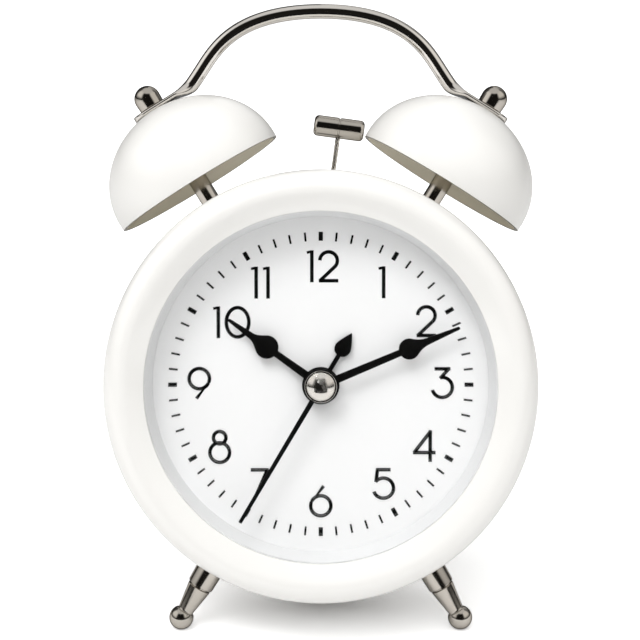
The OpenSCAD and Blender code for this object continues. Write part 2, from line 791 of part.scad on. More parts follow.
module left_bell_post() bell_post(-1);
module right_bell_post() bell_post(1);

// Domed nut: a slightly tapered skirt under half a ball, bored for the stud
module dome_nut(side) stand() color(bright_metal) bell_spoke(side)
translate([0, 0, crown_at + tab_t]) difference() {
    rotate_extrude() {
        polygon([[0, 0], [nut_base_d / 2, 0], [nut_ball_d / 2, nut_ball_h], [0, nut_ball_h]]);
        translate([0, nut_ball_h]) intersection() {
            circle(d = nut_ball_d);
            square(nut_ball_d / 2);
        }
    }
    translate([0, 0, -past]) cylinder(r = stud_r + hole_gap, h = nut_ball_h + past + hole_gap);
}

module left_dome_nut() dome_nut(-1);
module right_dome_nut() dome_nut(1);

module post_nuts() stand() color(bright_metal) for (side = [-1, 1])
    bell_spoke(side) translate([0, 0, post_seat - nut_t]) linear_extrude(nut_t) difference() {
        hex(nut_af);
        circle(r = stud_r + hole_gap);
    }

// Handle: a round rod swept along the arch and flattened into a tab at each end; its path is the underside

function bezier(p, t) =
    pow(1 - t, 3) * p[0] + 3 * t * pow(1 - t, 2) * p[1] + 3 * t * t * (1 - t) * p[2] + pow(t, 3) * p[3];

function mix(a, b, part) = a + (b - a) * part;

// Way along the curve at t
function heading(p, t) = bezier(p, t + heading_step) - bezier(p, t - heading_step);

// Share of the full round that the flattened end has reached at t
function swell(t) = min(1, t * t * (3 - 2 * t) * swell_rate);

// Width of the tab's rounded end at a depth d from its tip
function tab_round(d) = tab_w * sqrt(1 - pow(1 - min(1, 2 * d / tab_w), 2));

// Stations of the right half, each [place, way, thickness, width, roundness]
tab_stations = [
    for (d = tab_cuts * tab_w / 2)
        [crown_mid - (tab_out - d) * tab_way, tab_way, tab_t, tab_round(d), tab_edge]
];
leg_stations = [
    for (i = [0:handle_steps]) let(t = i / handle_steps, s = swell(t))
        [
            bezier(leg_curve, t), heading(leg_curve, t),
            mix(tab_t, handle_d, s), mix(tab_w, handle_d, s), mix(tab_edge, rod_edge, s)
        ]
];
arch_stations = [
    for (i = [1:handle_steps]) let(t = i / handle_steps)
        [bezier(arch_curve, t), heading(arch_curve, t), handle_d, handle_d, rod_edge]
];
half_handle = concat(tab_stations, leg_stations, arch_stations);

function mirrored(s) = [[-s[0][0], s[0][1]], [s[1][0], -s[1][1]], s[2], s[3], s[4]];
handle_stations = concat(
    half_handle, [for (i = [len(half_handle) - 2:-1:0]) mirrored(half_handle[i])]
);

function rounded_power(c, edge) = sign(c) * pow(abs(c), edge);

// One ring of the rod: round where the edge is 1, close to a rectangle where it is near 0
function rod_ring(s) =
    let(way = s[1] / norm(s[1]), out = [way[1], -way[0]])
    [
        for (k = [0:rod_sides - 1])
            let(a = 360 * k / rod_sides, q = s[0] + (1 + rounded_power(sin(a), s[4])) / 2 * s[2] * out)
            [q[0], bell_back + rounded_power(cos(a), s[4]) / 2 * s[3], q[1]]
    ];

// Triangles of a tube of rings with n points each, closed by fans at both ends
function tube_faces(rings, n) = concat(
    [
        for (i = [0:rings - 2]) for (j = [0:n - 1])
            let(k = (j + 1) % n) [i * n + j, (i + 1) * n + j, (i + 1) * n + k]
    ],
    [
        for (i = [0:rings - 2]) for (j = [0:n - 1])
            let(k = (j + 1) % n) [i * n + j, (i + 1) * n + k, i * n + k]
    ],
    [for (j = [1:n - 2]) [0, j, j + 1]],
    [for (j = [1:n - 2]) let(b = (rings - 1) * n) [b, b + j + 1, b + j]]
);

module carry_handle() stand() color(bright_metal) difference() {
    polyhedron(
        points = [for (s = handle_stations) each rod_ring(s)],
        faces = tube_faces(len(handle_stations), rod_sides)
    );
    for (side = [-1, 1]) bell_spoke(side) translate([0, 0, crown_at - past])
        cylinder(r = stud_r + hole_gap, h = tab_t + 2 * past);
}

// Feet

module foot_collar(side) stand() color(bright_metal) foot_spoke(side)
translate([0, 0, drum_r]) difference() {
    cylinder(d1 = collar_d, d2 = collar_low_d, h = collar_len);
    translate([0, 0, -past]) cylinder(r = foot_stud_r + hole_gap, h = collar_len + 2 * past);
}

module left_foot_collar() foot_collar(-1);
module right_foot_collar() foot_collar(1);

module foot(side) color(bright_metal) difference() {
    stand() foot_spoke(side) {
        translate([0, 0, collar_end]) cylinder(d1 = leg_top_d, d2 = leg_waist_d, h = leg_len);
        translate([0, 0, foot_ball_at]) sphere(d = foot_ball_d);
        translate([0, 0, foot_tail]) cylinder(r = foot_stud_r, h = collar_end + past - foot_tail);
    }
    translate([-case_d, -case_d, -case_d]) cube([2 * case_d, 2 * case_d, case_d]);
}

module left_foot() foot(-1);
module right_foot() foot(1);

module foot_nuts() stand() color(bright_metal) for (side = [-1, 1])
    foot_spoke(side) translate([0, 0, foot_seat - foot_nut_t]) linear_extrude(foot_nut_t) difference() {
        hex(foot_nut_af);
        circle(r = foot_stud_r + hole_gap);
    }

// Movement frame

module movement_plate() stand() color(nylon) difference() {
    union() {
        slab(plate_y, plate_back_y) {
            square(movement_w, center = true);
            for (turn = lug_turns) rotate(turn)
                translate([lug_end / 2, 0]) square([lug_end, lug_w], center = true);
        }
        bar_y([0, 0], bush_out, -bush_proud, plate_back_y);
    }
    bar_y([0, 0], bush_in, -past, plate_back_y + past);
    for (at = [motion_at, alarm_at]) bar_y(at, arbor_r + running_gap, plate_y - past, plate_back_y + past);
    for (at = [third_at, fifth_at, rotor_at])
        bar_y(at, pivot_r + running_gap, plate_y - past, plate_back_y + past);
    at_lugs() bar_y([0, lug_screw_at], lug_screw_r + hole_gap, plate_y - past, plate_back_y + past);
}

module movement_housing() stand() color(nylon) difference() {
    slab(plate_back_y, housing_back_y) rounded(movement_w, movement_w, housing_round);
    slab(plate_back_y - past, rear_wall_y) square(2 * housing_in, center = true);
    for (at = [motion_at, alarm_at])
        bar_y(at, arbor_r + running_gap, rear_wall_y - past, housing_back_y + past);
    for (at = [third_at, fifth_at, rotor_at, [0, 0]])
        bar_y(at, pivot_r + running_gap, rear_wall_y - past, housing_back_y + past);
}

module movement_screws() stand() color(bright_metal) at_lugs() {
    bar_y([0, lug_screw_at], lug_screw_r, flange_y + 2 * hole_gap, plate_back_y);
    bar_y([0, lug_screw_at], lug_head_r, plate_back_y, plate_back_y + lug_head_t);
}

module circuit_board() stand() color(board_green) {
    slab(rear_wall_y - board_t, rear_wall_y)
        translate([0, board_z]) square([board_w, board_h], center = true);
    bar_y([chip_x, board_z], chip_r, rear_wall_y - board_t - chip_t, rear_wall_y - board_t);
}

module quartz_crystal() stand() color(bright_metal)
    bar_x([rear_wall_y - board_t - crystal_r, board_z], crystal_r, crystal_x, crystal_x + crystal_len);

// Stepper motor: a flat stator round the rotor, with the coil across its two arms

module stepper_stator() stand() color(plain_steel) slab(rear_wall_y - board_t, rear_wall_y) difference() {
    translate([coil_x - stator_arm, stator_z]) square([coil_len + 2 * stator_arm, stator_top - stator_z]);
    translate([coil_x, coil_z - coil_r - coil_room]) square([coil_len, 3 * coil_r]);
    translate(rotor_at) circle(r = rotor_d / 2 + stator_room);
}

module stepper_coil() stand() color(copper_wire)
    bar_x([rear_wall_y - seat_gap - coil_r, coil_z], coil_r, coil_x + hole_gap, coil_x + coil_len - hole_gap);

module stepper_rotor() stand() color(plain_steel) {
    phase = mesh_phase(fifth_teeth, 0, rotor_teeth, rotor_turn);
    bar_y(rotor_at, rotor_d / 2, rotor_y, rotor_y + rotor_t);
    bar_y(rotor_at, pivot_r, pivot_front_y, pivot_rear_y);
    at_arbor(rotor_at) gear(rotor_teeth, rotor_m, phase, fifth_layer_y - pinion_over, rotor_y);
}

// Going train

module fifth_wheel() stand() color(nylon) {
    phase = mesh_phase(seconds_teeth, 0, fifth_pinion_teeth, fifth_turn);
    bar_y(fifth_at, pivot_r, pivot_front_y, pivot_rear_y);
    at_arbor(fifth_at) {
        wheel(fifth_teeth, rotor_m, 0, fifth_layer_y);
        gear(fifth_pinion_teeth, seconds_m, phase, seconds_layer_y - pinion_over, fifth_layer_y);
    }
}

module seconds_wheel() stand() color(nylon) {
    bar_y([0, 0], seconds_r, second_y, pivot_rear_y);
    wheel(seconds_teeth, seconds_m, 0, seconds_layer_y);
    gear(seconds_pinion_teeth, third_m, 0, third_layer_y - pinion_over, seconds_layer_y);
}

module third_wheel() stand() color(nylon) {
    wheel_phase = mesh_phase(seconds_pinion_teeth, 0, third_teeth, third_turn);
    pinion_phase = mesh_phase(centre_teeth, 0, third_pinion_teeth, third_turn);
    bar_y(third_at, pivot_r, pivot_front_y, pivot_rear_y);
    at_arbor(third_at) {
        wheel(third_teeth, third_m, wheel_phase, third_layer_y);
        gear(third_pinion_teeth, centre_m, pinion_phase, centre_layer_y - pinion_over, third_layer_y);
    }
}

module centre_wheel() stand() color(brass) difference() {
    wheel(centre_teeth, centre_m, 0, centre_layer_y);
    bar_y([0, 0], minute_out + running_gap, centre_layer_y - past, centre_layer_y + wheel_t + past);
}

// Motion work: the minute hand's tube slips in the centre wheel while the hands are set

module cannon_pinion() stand() color(brass) difference() {
    union() {
        wheel(cannon_teeth, cannon_m, 0, cannon_layer_y);
        bar_y([0, 0], minute_out, minute_y, centre_layer_y + wheel_t + end_play);
    }
    bar_y([0, 0], minute_in, minute_y - past, centre_layer_y + layer);
}

module motion_wheel() stand() color(nylon) difference() {
    wheel_phase = mesh_phase(cannon_teeth, 0, motion_teeth, motion_turn);
    pinion_phase = mesh_phase(hour_teeth, 0, motion_pinion_teeth, motion_turn);
    at_arbor(motion_at) {
        wheel(motion_teeth, cannon_m, wheel_phase, cannon_layer_y);
        gear(motion_pinion_teeth, hour_m, pinion_phase, hour_layer_y - pinion_over, cannon_layer_y);
    }
    bar_y(motion_at, arbor_r, hour_layer_y - past, cannon_layer_y + layer);
}

module hour_wheel() stand() color(nylon) difference() {
    union() {
        wheel(hour_teeth, hour_m, 0, hour_layer_y);
        bar_y([0, 0], hour_out, hour_y, hour_layer_y + wheel_t);
    }
    bar_y([0, 0], hour_in, hour_y - past, hour_layer_y + layer);
}

module alarm_wheel() stand() color(nylon) difference() {
    union() {
        wheel(alarm_teeth, alarm_m, 0, alarm_layer_y);
        bar_y([0, 0], alarm_out, alarm_y, alarm_layer_y + wheel_t);
    }
    bar_y([0, 0], alarm_in, alarm_y - past, alarm_layer_y + layer);
}

// Setting arbors and knobs

module time_set_arbor() stand() color(bright_metal) bar_y(motion_at, arbor_r, pivot_front_y, knob_end_y);

module alarm_set_arbor() stand() color(bright_metal) {
    phase = mesh_phase(alarm_teeth, 0, alarm_pinion_teeth, alarm_turn);
    bar_y(alarm_at, arbor_r, pivot_front_y, knob_end_y);
    at_arbor(alarm_at) wheel(alarm_pinion_teeth, alarm_m, phase, alarm_layer_y);
}

module knob(at) stand() color(dark_plastic) at_arbor(at) difference() {
    union() {
        slab(knob_y + knob_neck_h / 2, knob_y + knob_h) polygon(knob_outline);
        bar_y([0, 0], knob_neck_r, knob_y, knob_y + knob_neck_h);
    }
    bar_y([0, 0], arbor_r, knob_y - past, knob_end_y);
    bar_y([0, 0], knob_d / 4, knob_y + knob_h - knob_dish, knob_y + knob_h + past);
}

module time_knob() knob(motion_at);
module alarm_knob() knob(alarm_at);

// Hands: a hub, a slim stem, a round swelling and a long drawn-out tip

module spade_outline(len, disc_at, disc_d, hub_d) {
    reach = len - disc_at;
    lean_in = asin(disc_d / 2 / reach);
    touch = disc_d / 2 * [cos(lean_in), sin(lean_in)];
    waist = [stem_w * spade_waist[0], reach * spade_waist[1]];
    circle(d = hub_d);
    polygon([
        [-stem_w / 2, 0], [stem_w / 2, 0], [stem_w * stem_taper, disc_at], [-stem_w * stem_taper, disc_at]
    ]);
    translate([0, disc_at]) {
        circle(d = disc_d);
        polygon([
            touch, waist, [tip_w / 2, reach],
            [-tip_w / 2, reach], [-waist[0], waist[1]], [-touch[0], touch[1]]
        ]);
    }
}

module hand(angle, y, bore) stand() color(black_metal) hand_frame(angle) slab(y, y + hand_t) difference() {
    children();
    circle(r = bore);
}

module hour_hand() hand(hour_angle, hour_y, hour_out)
    spade_outline(hour_len, hour_disc_at, hour_disc_d, hour_hub_d);

module minute_hand() hand(minute_angle, minute_y, minute_out)
    spade_outline(minute_len, minute_disc_at, minute_disc_d, minute_hub_d);

module second_hand() hand(second_angle, second_y, seconds_r) {
    tip = second_w * second_taper;
    circle(d = second_hub_d);
    polygon([[-second_w / 2, 0], [second_w / 2, 0], [tip, second_len], [-tip, second_len]]);
}

module alarm_hand() hand(alarm_angle, alarm_y, alarm_out) {
    neck = alarm_len - alarm_head_len;
    stem = alarm_stem_w / 2;
    wide = [alarm_head_w / 2, neck + alarm_head_len * alarm_wide_at];
    slim = [alarm_head_w * alarm_slim, neck + alarm_head_len / 2];
    circle(d = minute_hub_d);
    translate([-stem, 0]) square([alarm_stem_w, neck + past]);
    polygon([
        [stem, neck], wide, slim, [0, alarm_len], [-slim[0], slim[1]], [-wide[0], wide[1]], [-stem, neck]
    ]);
}

module centre_cap() stand() color(bright_metal) about_axis() translate([0, second_y]) {
    translate([0, -cap_rim]) square([cap_d / 2, cap_rim]);
    intersection() {
        translate([0, cap_ball - cap_h]) circle(r = cap_ball);
        translate([0, -cap_h]) square([cap_d / 2, cap_rise]);
    }
}

// Hammer

module hammer_head() stand() color(bright_metal) hammer_frame()
translate([0, 0, hammer_reach]) difference() {
    rotate([0, 90, 0]) rotate_extrude() difference() {
        intersection() {
            rounded(head_d, head_len, head_round);
            translate([0, -head_len / 2]) square([head_d / 2, head_len]);
        }
        translate([head_d / 2 - head_groove, -head_groove_w / 2]) square([head_groove + past, head_groove_w]);
    }
    translate([0, 0, -head_d]) cylinder(d = rod_d, h = head_d - rod_seat);
}

module hammer_rod() stand() color(bright_metal) hammer_frame()
    translate([0, 0, rod_root]) cylinder(d = rod_d, h = hammer_reach - rod_seat - rod_root);

module hammer_lever() stand() color(plain_steel) hammer_frame() difference() {
    union() {
        bar_y([0, 0], boss_r, -boss_t / 2, boss_t / 2);
        slab(-lever_t / 2, lever_t / 2) translate([-lever_w / 2, -armature_drop - armature_h / 2])
            square([lever_w, armature_drop + armature_h / 2]);
    }
    bar_y([0, 0], pivot_d / 2 + running_gap, -boss_t, boss_t);
    translate([0, 0, rod_root]) cylinder(d = rod_d, h = boss_r);
}

module armature() stand() color(plain_steel) hammer_frame() slab(lever_t / 2, lever_t / 2 + armature_t)
    translate([0, -armature_drop]) square([armature_w, armature_h], center = true);

module pivot_pin() stand() color(bright_metal) {
    bar_y([0, pivot_h], pivot_d / 2, housing_back_y + hole_gap, pin_end_y);
    bar_y([0, pivot_h], pin_head_r, bracket_back_y, bell_back - boss_t / 2 - hole_gap);
    bar_y([0, pivot_h], pin_head_r, pin_end_y - pin_head_t, pin_end_y);
}

module striker_bracket() stand() color(plain_steel) difference() {
    slab(housing_back_y, bracket_back_y) translate([bracket_left, bracket_low])
        square([bracket_right - bracket_left, bracket_top - bracket_low]);
    bar_y([0, pivot_h], pivot_d / 2, housing_back_y - past, bracket_back_y + past);
}

module striker_core() stand() color(plain_steel) {
    bar_x([core_y, core_z], core_r, core_x, yoke_x + hole_gap);
    translate([yoke_x, bracket_back_y, core_z - striker_coil_r])
        cube([yoke_t, core_y + striker_coil_r - bracket_back_y, 2 * striker_coil_r]);
}

module striker_coil() stand() color(copper_wire) difference() {
    bar_x([core_y, core_z], striker_coil_r, core_x + core_proud, yoke_x - hole_gap);
    bar_x([core_y, core_z], core_r + running_gap, core_x, yoke_x);
}

// Switch and battery

module alarm_switch() stand() color(cover_plastic) translate([switch_x, 0, 0]) {
    slab(switch_foot_y - switch_foot_t, switch_foot_y) square(switch_foot, center = true);
    slab(switch_foot_y - switch_foot_t, switch_cap_y + switch_root) square(switch_stem, center = true);
    slab(switch_cap_y, switch_cap_y + switch_cap_h) square(switch_cap, center = true);
}

module battery_door() stand() color(cover_plastic) {
    slab(door_seat_y, cover_back_y) translate([-door_half_x, door_hinge_z])
        square([2 * door_half_x, door_top - door_hinge_z]);
    bar_x([door_hinge_y, door_hinge_z], door_knuckle_r, -door_half_x, door_half_x);
    bar_x([door_hinge_y, door_hinge_z], door_pin_r, -door_half_x - door_pin_len, door_half_x + door_pin_len);
    for (k = [0:2]) slab(cover_back_y - hole_gap, cover_back_y + grip_rib[1])
        translate([0, door_top - grip_top - grip_pitch * k])
            square([door_grip_w, grip_rib[0]], center = true);
}

module battery_cell() stand() color(cell_grey) {
    bar_x([cell_y, -cell_drop], cell_d / 2, cell_left, cell_left + cell_len);
    bar_x([cell_y, -cell_drop], cell_nub_r, cell_left + cell_len, cell_left + cell_len + cell_nub);
}

module positive_contact() stand() color(bright_metal)
    translate([bay_half_x - contact_t, cell_y - contact_w / 2, -cell_drop - contact_w / 2])
        cube([contact_t, contact_w, contact_w]);

// Contact spring: one narrowing coil of round wire between the bay's end and the cell

function spring_at(part) =
    let(a = 360 * spring_turns * part, r = spring_r - spring_wire / 2 - spring_narrowing * part)
    [-bay_half_x + (spring_wire + seat_gap) / 2 + spring_len * part, r * cos(a), r * sin(a)];

module negative_spring() stand() color(bright_metal) translate([0, cell_y, -cell_drop]) polyhedron(
    points = [
        for (i = [0:spring_rings]) for (k = [0:spring_sides - 1])
            let(part = i / spring_rings, a = 360 * spring_turns * part, b = 360 * k / spring_sides)
            spring_at(part) + spring_wire / 2 * [sin(b), cos(b) * cos(a), cos(b) * sin(a)]
    ],
    faces = tube_faces(spring_rings + 1, spring_sides)
);

case_drum();
front_bezel();
lens();
dial_ring();
dial();
back_cover();
case_pillars();
cover_screws();
left_bell();
right_bell();
left_bell_post();
right_bell_post();
left_dome_nut();
right_dome_nut();
post_nuts();
carry_handle();
left_foot_collar();
right_foot_collar();
left_foot();
right_foot();
foot_nuts();
movement_plate();
movement_housing();
movement_screws();
circuit_board();
quartz_crystal();
stepper_stator();
stepper_coil();
stepper_rotor();
fifth_wheel();
seconds_wheel();
third_wheel();
centre_wheel();
cannon_pinion();
motion_wheel();
hour_wheel();
alarm_wheel();
time_set_arbor();
alarm_set_arbor();
time_knob();
alarm_knob();
second_hand();
centre_cap();
minute_hand();
hour_hand();
alarm_hand();
hammer_head();
hammer_rod();
hammer_lever();
armature();
pivot_pin();
striker_bracket();
striker_core();
striker_coil();
alarm_switch();
battery_door();
battery_cell();
positive_contact();
negative_spring();
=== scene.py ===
"""Twin bell alarm clock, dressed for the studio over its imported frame."""

import json
import logging
import math
from dataclasses import dataclass, field, replace
from enum import Enum
from typing import Callable, Iterable, Sequence

import bmesh
import bpy
from mathutils import Matrix, Vector


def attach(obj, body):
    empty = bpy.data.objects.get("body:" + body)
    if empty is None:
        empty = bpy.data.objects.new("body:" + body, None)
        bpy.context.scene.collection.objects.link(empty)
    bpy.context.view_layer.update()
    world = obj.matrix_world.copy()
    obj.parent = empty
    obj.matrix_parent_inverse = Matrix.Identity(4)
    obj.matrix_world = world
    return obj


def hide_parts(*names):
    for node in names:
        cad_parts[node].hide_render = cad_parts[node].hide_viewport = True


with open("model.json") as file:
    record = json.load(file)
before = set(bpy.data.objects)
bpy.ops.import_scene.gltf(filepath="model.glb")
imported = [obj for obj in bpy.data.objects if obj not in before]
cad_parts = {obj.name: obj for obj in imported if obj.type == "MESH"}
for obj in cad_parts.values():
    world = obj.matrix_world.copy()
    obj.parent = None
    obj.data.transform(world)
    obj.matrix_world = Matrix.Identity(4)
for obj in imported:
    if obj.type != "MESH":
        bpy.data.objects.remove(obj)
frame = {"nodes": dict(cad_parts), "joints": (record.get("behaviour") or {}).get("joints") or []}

Point2 = tuple[float, float]
Point3 = tuple[float, float, float]
Colour = tuple[float, float, float]

MM = 0.001
LOG = logging.getLogger("clock")

# Shared values

NEAR = 1e-5
MERGE_GAP = 1e-4
CUT_GAP = 0.002
FLAT_GAP = 1e-7
FINE_LATHE = 160
LATHE = 128
SMALL_LATHE = 64
THIN_LATHE = 48
SCREW_LATHE = 40
BAR_SIDES = 32
HOURS = 12
MARKS_AN_HOUR = 5
SMOOTH_BELOW = 32.0
ORIGIN = (0.0, 0.0, 0.0)
ALONG_Z = (0.0, 0.0, 1.0)


class Side(Enum):
    """The clock's two sides, seen from the front."""

    LEFT = -1
    RIGHT = 1

    @property
    def word(self) -> str:
        """The side's name in small letters."""
        return self.name.lower()


class Pattern(Enum):
    """What the fine layer of a finish is made of."""

    GRAIN = "grain"
    BRUSHED = "brushed"
    WOUND_X = "wound about x"
    WOUND_Z = "wound about z"
    TRACKS = "board tracks"


# Frames


def clock_frame() -> Matrix:
    """Gives the step from the clock's millimetres to the world's metres.

    Returns:
        A matrix whose origin is the dial's centre, with y to the back and z up the dial.
    """
    joint = next(j for j in frame["joints"] if j["name"] == "second_hand_spin")
    back = Vector(joint["axis"])
    side = Vector((1.0, 0.0, 0.0))
    place = Matrix((side, back, side.cross(back))).transposed().to_4x4()
    place.translation = Vector(joint["pos_m"])
    return place @ Matrix.Scale(MM, 4)


CLOCK = clock_frame()
ABOUT_AXIS = Matrix.Rotation(math.radians(-90.0), 4, "X")
ON_DIAL = Matrix.Rotation(math.radians(90.0), 4, "X")


def spoke(turn: float, y: float) -> Matrix:
    """Gives the frame of a part that stands out from the drum.

    Args:
        turn: Angle from the top, clockwise, in degrees.
        y: Place along the dial's axis.

    Returns:
        A matrix whose z runs outward from the axis.
    """
    return Matrix.Translation((0.0, y, 0.0)) @ Matrix.Rotation(math.radians(turn), 4, "Y")


# Lines


def arc(
    centre: Point2, radius: float, start: float, end: float, steps: int, squash: float = 1.0
) -> list[Point2]:
    """Lists points of an arc.

    Args:
        centre: The arc's centre.
        radius: Its radius along the first axis.
        start: First angle in degrees.
        end: Last angle in degrees.
        steps: Number of pieces.
        squash: Radius along the second axis as a share of the first.

    Returns:
        One more point than there are pieces.
    """
    turns = [math.radians(start + (end - start) * k / steps) for k in range(steps + 1)]
    return [
        (centre[0] + radius * math.cos(a), centre[1] + radius * squash * math.sin(a))
        for a in turns
    ]


def bezier(poles: Sequence[Point2], t: float) -> Vector:
    """Gives one point of a curve by halving between its poles.

    Args:
        poles: The curve's poles.
        t: Share along the curve.

    Returns:
        The point.
    """
    row = [Vector(p) for p in poles]
    while len(row) > 1:
        row = [a.lerp(b, t) for a, b in zip(row, row[1:])]
    return row[0]


def bend(poles: Sequence[Point2], steps: int) -> list[Point2]:
    """Lists points of a curve.

    Args:
        poles: The curve's poles.
        steps: Number of pieces.

    Returns:
        One more point than there are pieces.
    """
    return [tuple(bezier(poles, k / steps)) for k in range(steps + 1)]


# Bench work


def idle() -> None:
    """Leaves edit mode and deselects everything."""
    if bpy.context.object is not None and bpy.context.object.mode != "OBJECT":
        bpy.ops.object.mode_set(mode="OBJECT")
    bpy.ops.object.select_all(action="DESELECT")


def take(obj: bpy.types.Object) -> None:
    """Makes one object the only selected and active one.

    Args:
        obj: The object.
    """
    idle()
    obj.select_set(True)
    bpy.context.view_layer.objects.active = obj


def anywhere(_place: Vector) -> bool:
    """Passes every place."""
    return True


def pick(
    obj: bpy.types.Object, test: Callable[[Vector], bool] = anywhere, first: int = 0, end: float = math.inf
) -> None:
    """Selects the vertices of the mesh in edit mode that pass a test of place.

    Args:
        obj: The object in edit mode.
        test: Says whether a vertex at a place is wanted.
        first: Number of the first vertex that may be wanted.
        end: Number of the vertex after the last one that may be wanted.
    """
    mesh = bmesh.from_edit_mesh(obj.data)
    for k, vert in enumerate(mesh.verts):
        vert.select_set(first <= k < end and test(vert.co))
    mesh.select_flush_mode()
    bmesh.update_edit_mesh(obj.data)


def pick_edges(obj: bpy.types.Object, test: Callable[[Vector, Vector], bool]) -> None:
    """Selects the edges of the mesh in edit mode whose two ends pass a test.

    Args:
        obj: The object in edit mode.
        test: Says whether an edge between two places is wanted.
    """
    mesh = bmesh.from_edit_mesh(obj.data)
    bpy.ops.mesh.select_all(action="DESELECT")
    for edge in mesh.edges:
        if test(edge.verts[0].co, edge.verts[1].co):
            edge.select_set(True)
    bmesh.update_edit_mesh(obj.data)


def pick_faces(obj: bpy.types.Object, test: Callable[[Vector, Vector], bool]) -> None:
    """Selects the faces of the mesh in edit mode whose middle and normal pass a test.

    Args:
        obj: The object in edit mode.
        test: Says whether a face with a middle and a normal is wanted.
    """
    mesh = bmesh.from_edit_mesh(obj.data)
    bpy.ops.mesh.select_all(action="DESELECT")
    for face in mesh.faces:
        if test(face.calc_center_median(), face.normal):
            face.select_set(True)
    bmesh.update_edit_mesh(obj.data)


def blank() -> bpy.types.Object:
    """Starts an empty mesh.

    Returns:
        The object in edit mode.
    """
    idle()
    bpy.ops.mesh.primitive_cube_add(size=1.0)
    bpy.ops.object.mode_set(mode="EDIT")
    bpy.ops.mesh.select_all(action="SELECT")
    bpy.ops.mesh.delete(type="VERT")
    return bpy.context.object


def draw_line(points: Sequence[Point3]) -> bpy.types.Object:
    """Draws a line of edges, point by point, and stays in edit mode.

    Args:
        points: The line's points.

    Returns:
        The object in edit mode.
    """
    idle()
    bpy.ops.mesh.primitive_plane_add(size=1.0)
    bpy.ops.object.mode_set(mode="EDIT")
    bpy.ops.mesh.select_all(action="SELECT")
    bpy.ops.mesh.merge(type="CENTER")
    bpy.ops.transform.translate(value=points[0])
    for a, b in zip(points, points[1:]):
        step = tuple(Vector(b) - Vector(a))
        bpy.ops.mesh.extrude_vertices_move(TRANSFORM_OT_translate={"value": step})
    return bpy.context.object


def close_up() -> None:
    """Merges doubles and turns the faces outward, in edit mode."""
    bpy.ops.mesh.select_all(action="SELECT")
    bpy.ops.mesh.remove_doubles(threshold=MERGE_GAP)
    bpy.ops.mesh.normals_make_consistent(inside=False)


def turned(profile: Sequence[Point2], steps: int) -> bpy.types.Object:
    """Turns a piece on a lathe about z.

    Args:
        profile: Radius and height of each point of the outline, which is closed where it starts off the axis.
        steps: Pieces round the axis.

    Returns:
        The object in edit mode.
    """
    outline = profile if profile[0][0] == 0.0 else [*profile, profile[0]]
    obj = draw_line([(r, 0.0, z) for r, z in outline])
    bpy.ops.mesh.select_all(action="SELECT")
    bpy.ops.mesh.spin(steps=steps, angle=math.tau, center=ORIGIN, axis=ALONG_Z)
    close_up()
    return obj


def cut_plate(outline: Sequence[Point2], thick: float, edge: float = 0.0) -> bpy.types.Object:
    """Cuts a flat plate in the xz plane, with its front at y 0.

    Args:
        outline: The plate's outline, without its first point repeated.
        thick: Thickness toward the back.
        edge: Width of the bevel round the front.

    Returns:
        The object in edit mode.
    """
    obj = draw_line([(x, 0.0, z) for x, z in outline])
    bpy.ops.mesh.select_all(action="SELECT")
    bpy.ops.mesh.edge_face_add()
    bpy.ops.mesh.extrude_region_move(TRANSFORM_OT_translate={"value": (0.0, thick, 0.0)})
    close_up()
    if edge > 0.0:
        pick_edges(obj, lambda a, b: max(abs(a.y), abs(b.y)) < NEAR)
        bpy.ops.mesh.bevel(offset=edge, segments=2, affect="EDGES")
    return obj


def bore(obj: bpy.types.Object, cutter: bpy.types.Object) -> None:
    """Cuts one object out of another, throws the cutter away and clears the slivers along the cut.

    Args:
        obj: The object that stays.
        cutter: The object that is cut out.
    """
    take(obj)
    cut = obj.modifiers.new("cut", "BOOLEAN")
    cut.operation = "DIFFERENCE"
    cut.solver = "EXACT"
    cut.object = cutter
    bpy.ops.object.modifier_apply(modifier=cut.name)
    bpy.data.objects.remove(cutter)
    bpy.ops.object.mode_set(mode="EDIT")
    bpy.ops.mesh.select_all(action="SELECT")
    bpy.ops.mesh.remove_doubles(threshold=CUT_GAP)
    bpy.ops.mesh.dissolve_degenerate(threshold=CUT_GAP)
    bpy.ops.mesh.quads_convert_to_tris(quad_method="BEAUTY", ngon_method="BEAUTY")
    bpy.ops.object.mode_set(mode="OBJECT")


def fix(obj: bpy.types.Object, place: Matrix) -> None:
    """Puts an object at a place and moves the place into its mesh.

    Args:
        obj: The object.
        place: Its frame.
    """
    take(obj)
    obj.matrix_world = place
    bpy.ops.object.transform_apply(location=True, rotation=True, scale=True)


def round_bar(radius: float, length: float, place: Matrix) -> bpy.types.Object:
    """Makes a plain bar to cut with.

    Args:
        radius: The bar's radius.
        length: Its length along z.
        place: Frame of its middle.

    Returns:
        The bar.
    """
    idle()
    bpy.ops.mesh.primitive_cylinder_add(vertices=BAR_SIDES, radius=radius, depth=length)
    bar = bpy.context.object
    fix(bar, place)
    return bar


# Finishes

NOISE_SPAN = (0.3, 0.7)
NOISE_DETAIL = 3.0
EVEN = (1.0, 1.0, 1.0)
BRUSHED_ALONG_X = (0.03, 1.0, 1.0)
TRACK_GAP = 0.06
WINDING_WAVER = 0.4
COAT_ROUGH = 0.05
# Painted floor light: the middle and spread of its ellipse and its ramp, which leave the floor round the
# clock dark as a painted shadow.
PAINTED_SHADOW_MIDDLE = (0.0, 0.039, 0.0)
PAINTED_SHADOW_SPREAD = (1.12, 2.78, 0.0)
PAINTED_FLOOR_LIGHT_STOPS = ((0.002, 0.0), (0.045, 0.52), (1.0, 1.0))


def feed(tree: bpy.types.NodeTree, node: bpy.types.Node, values: dict[str | int, object]) -> None:
    """Sets inputs of a node to fixed values, or links them to other sockets.

    Args:
        tree: The nodes.
        node: The node.
        values: A value or a socket for each input, by its name or number.
    """
    for key, value in values.items():
        if isinstance(value, bpy.types.NodeSocket):
            tree.links.new(value, node.inputs[key])
        else:
            node.inputs[key].default_value = value


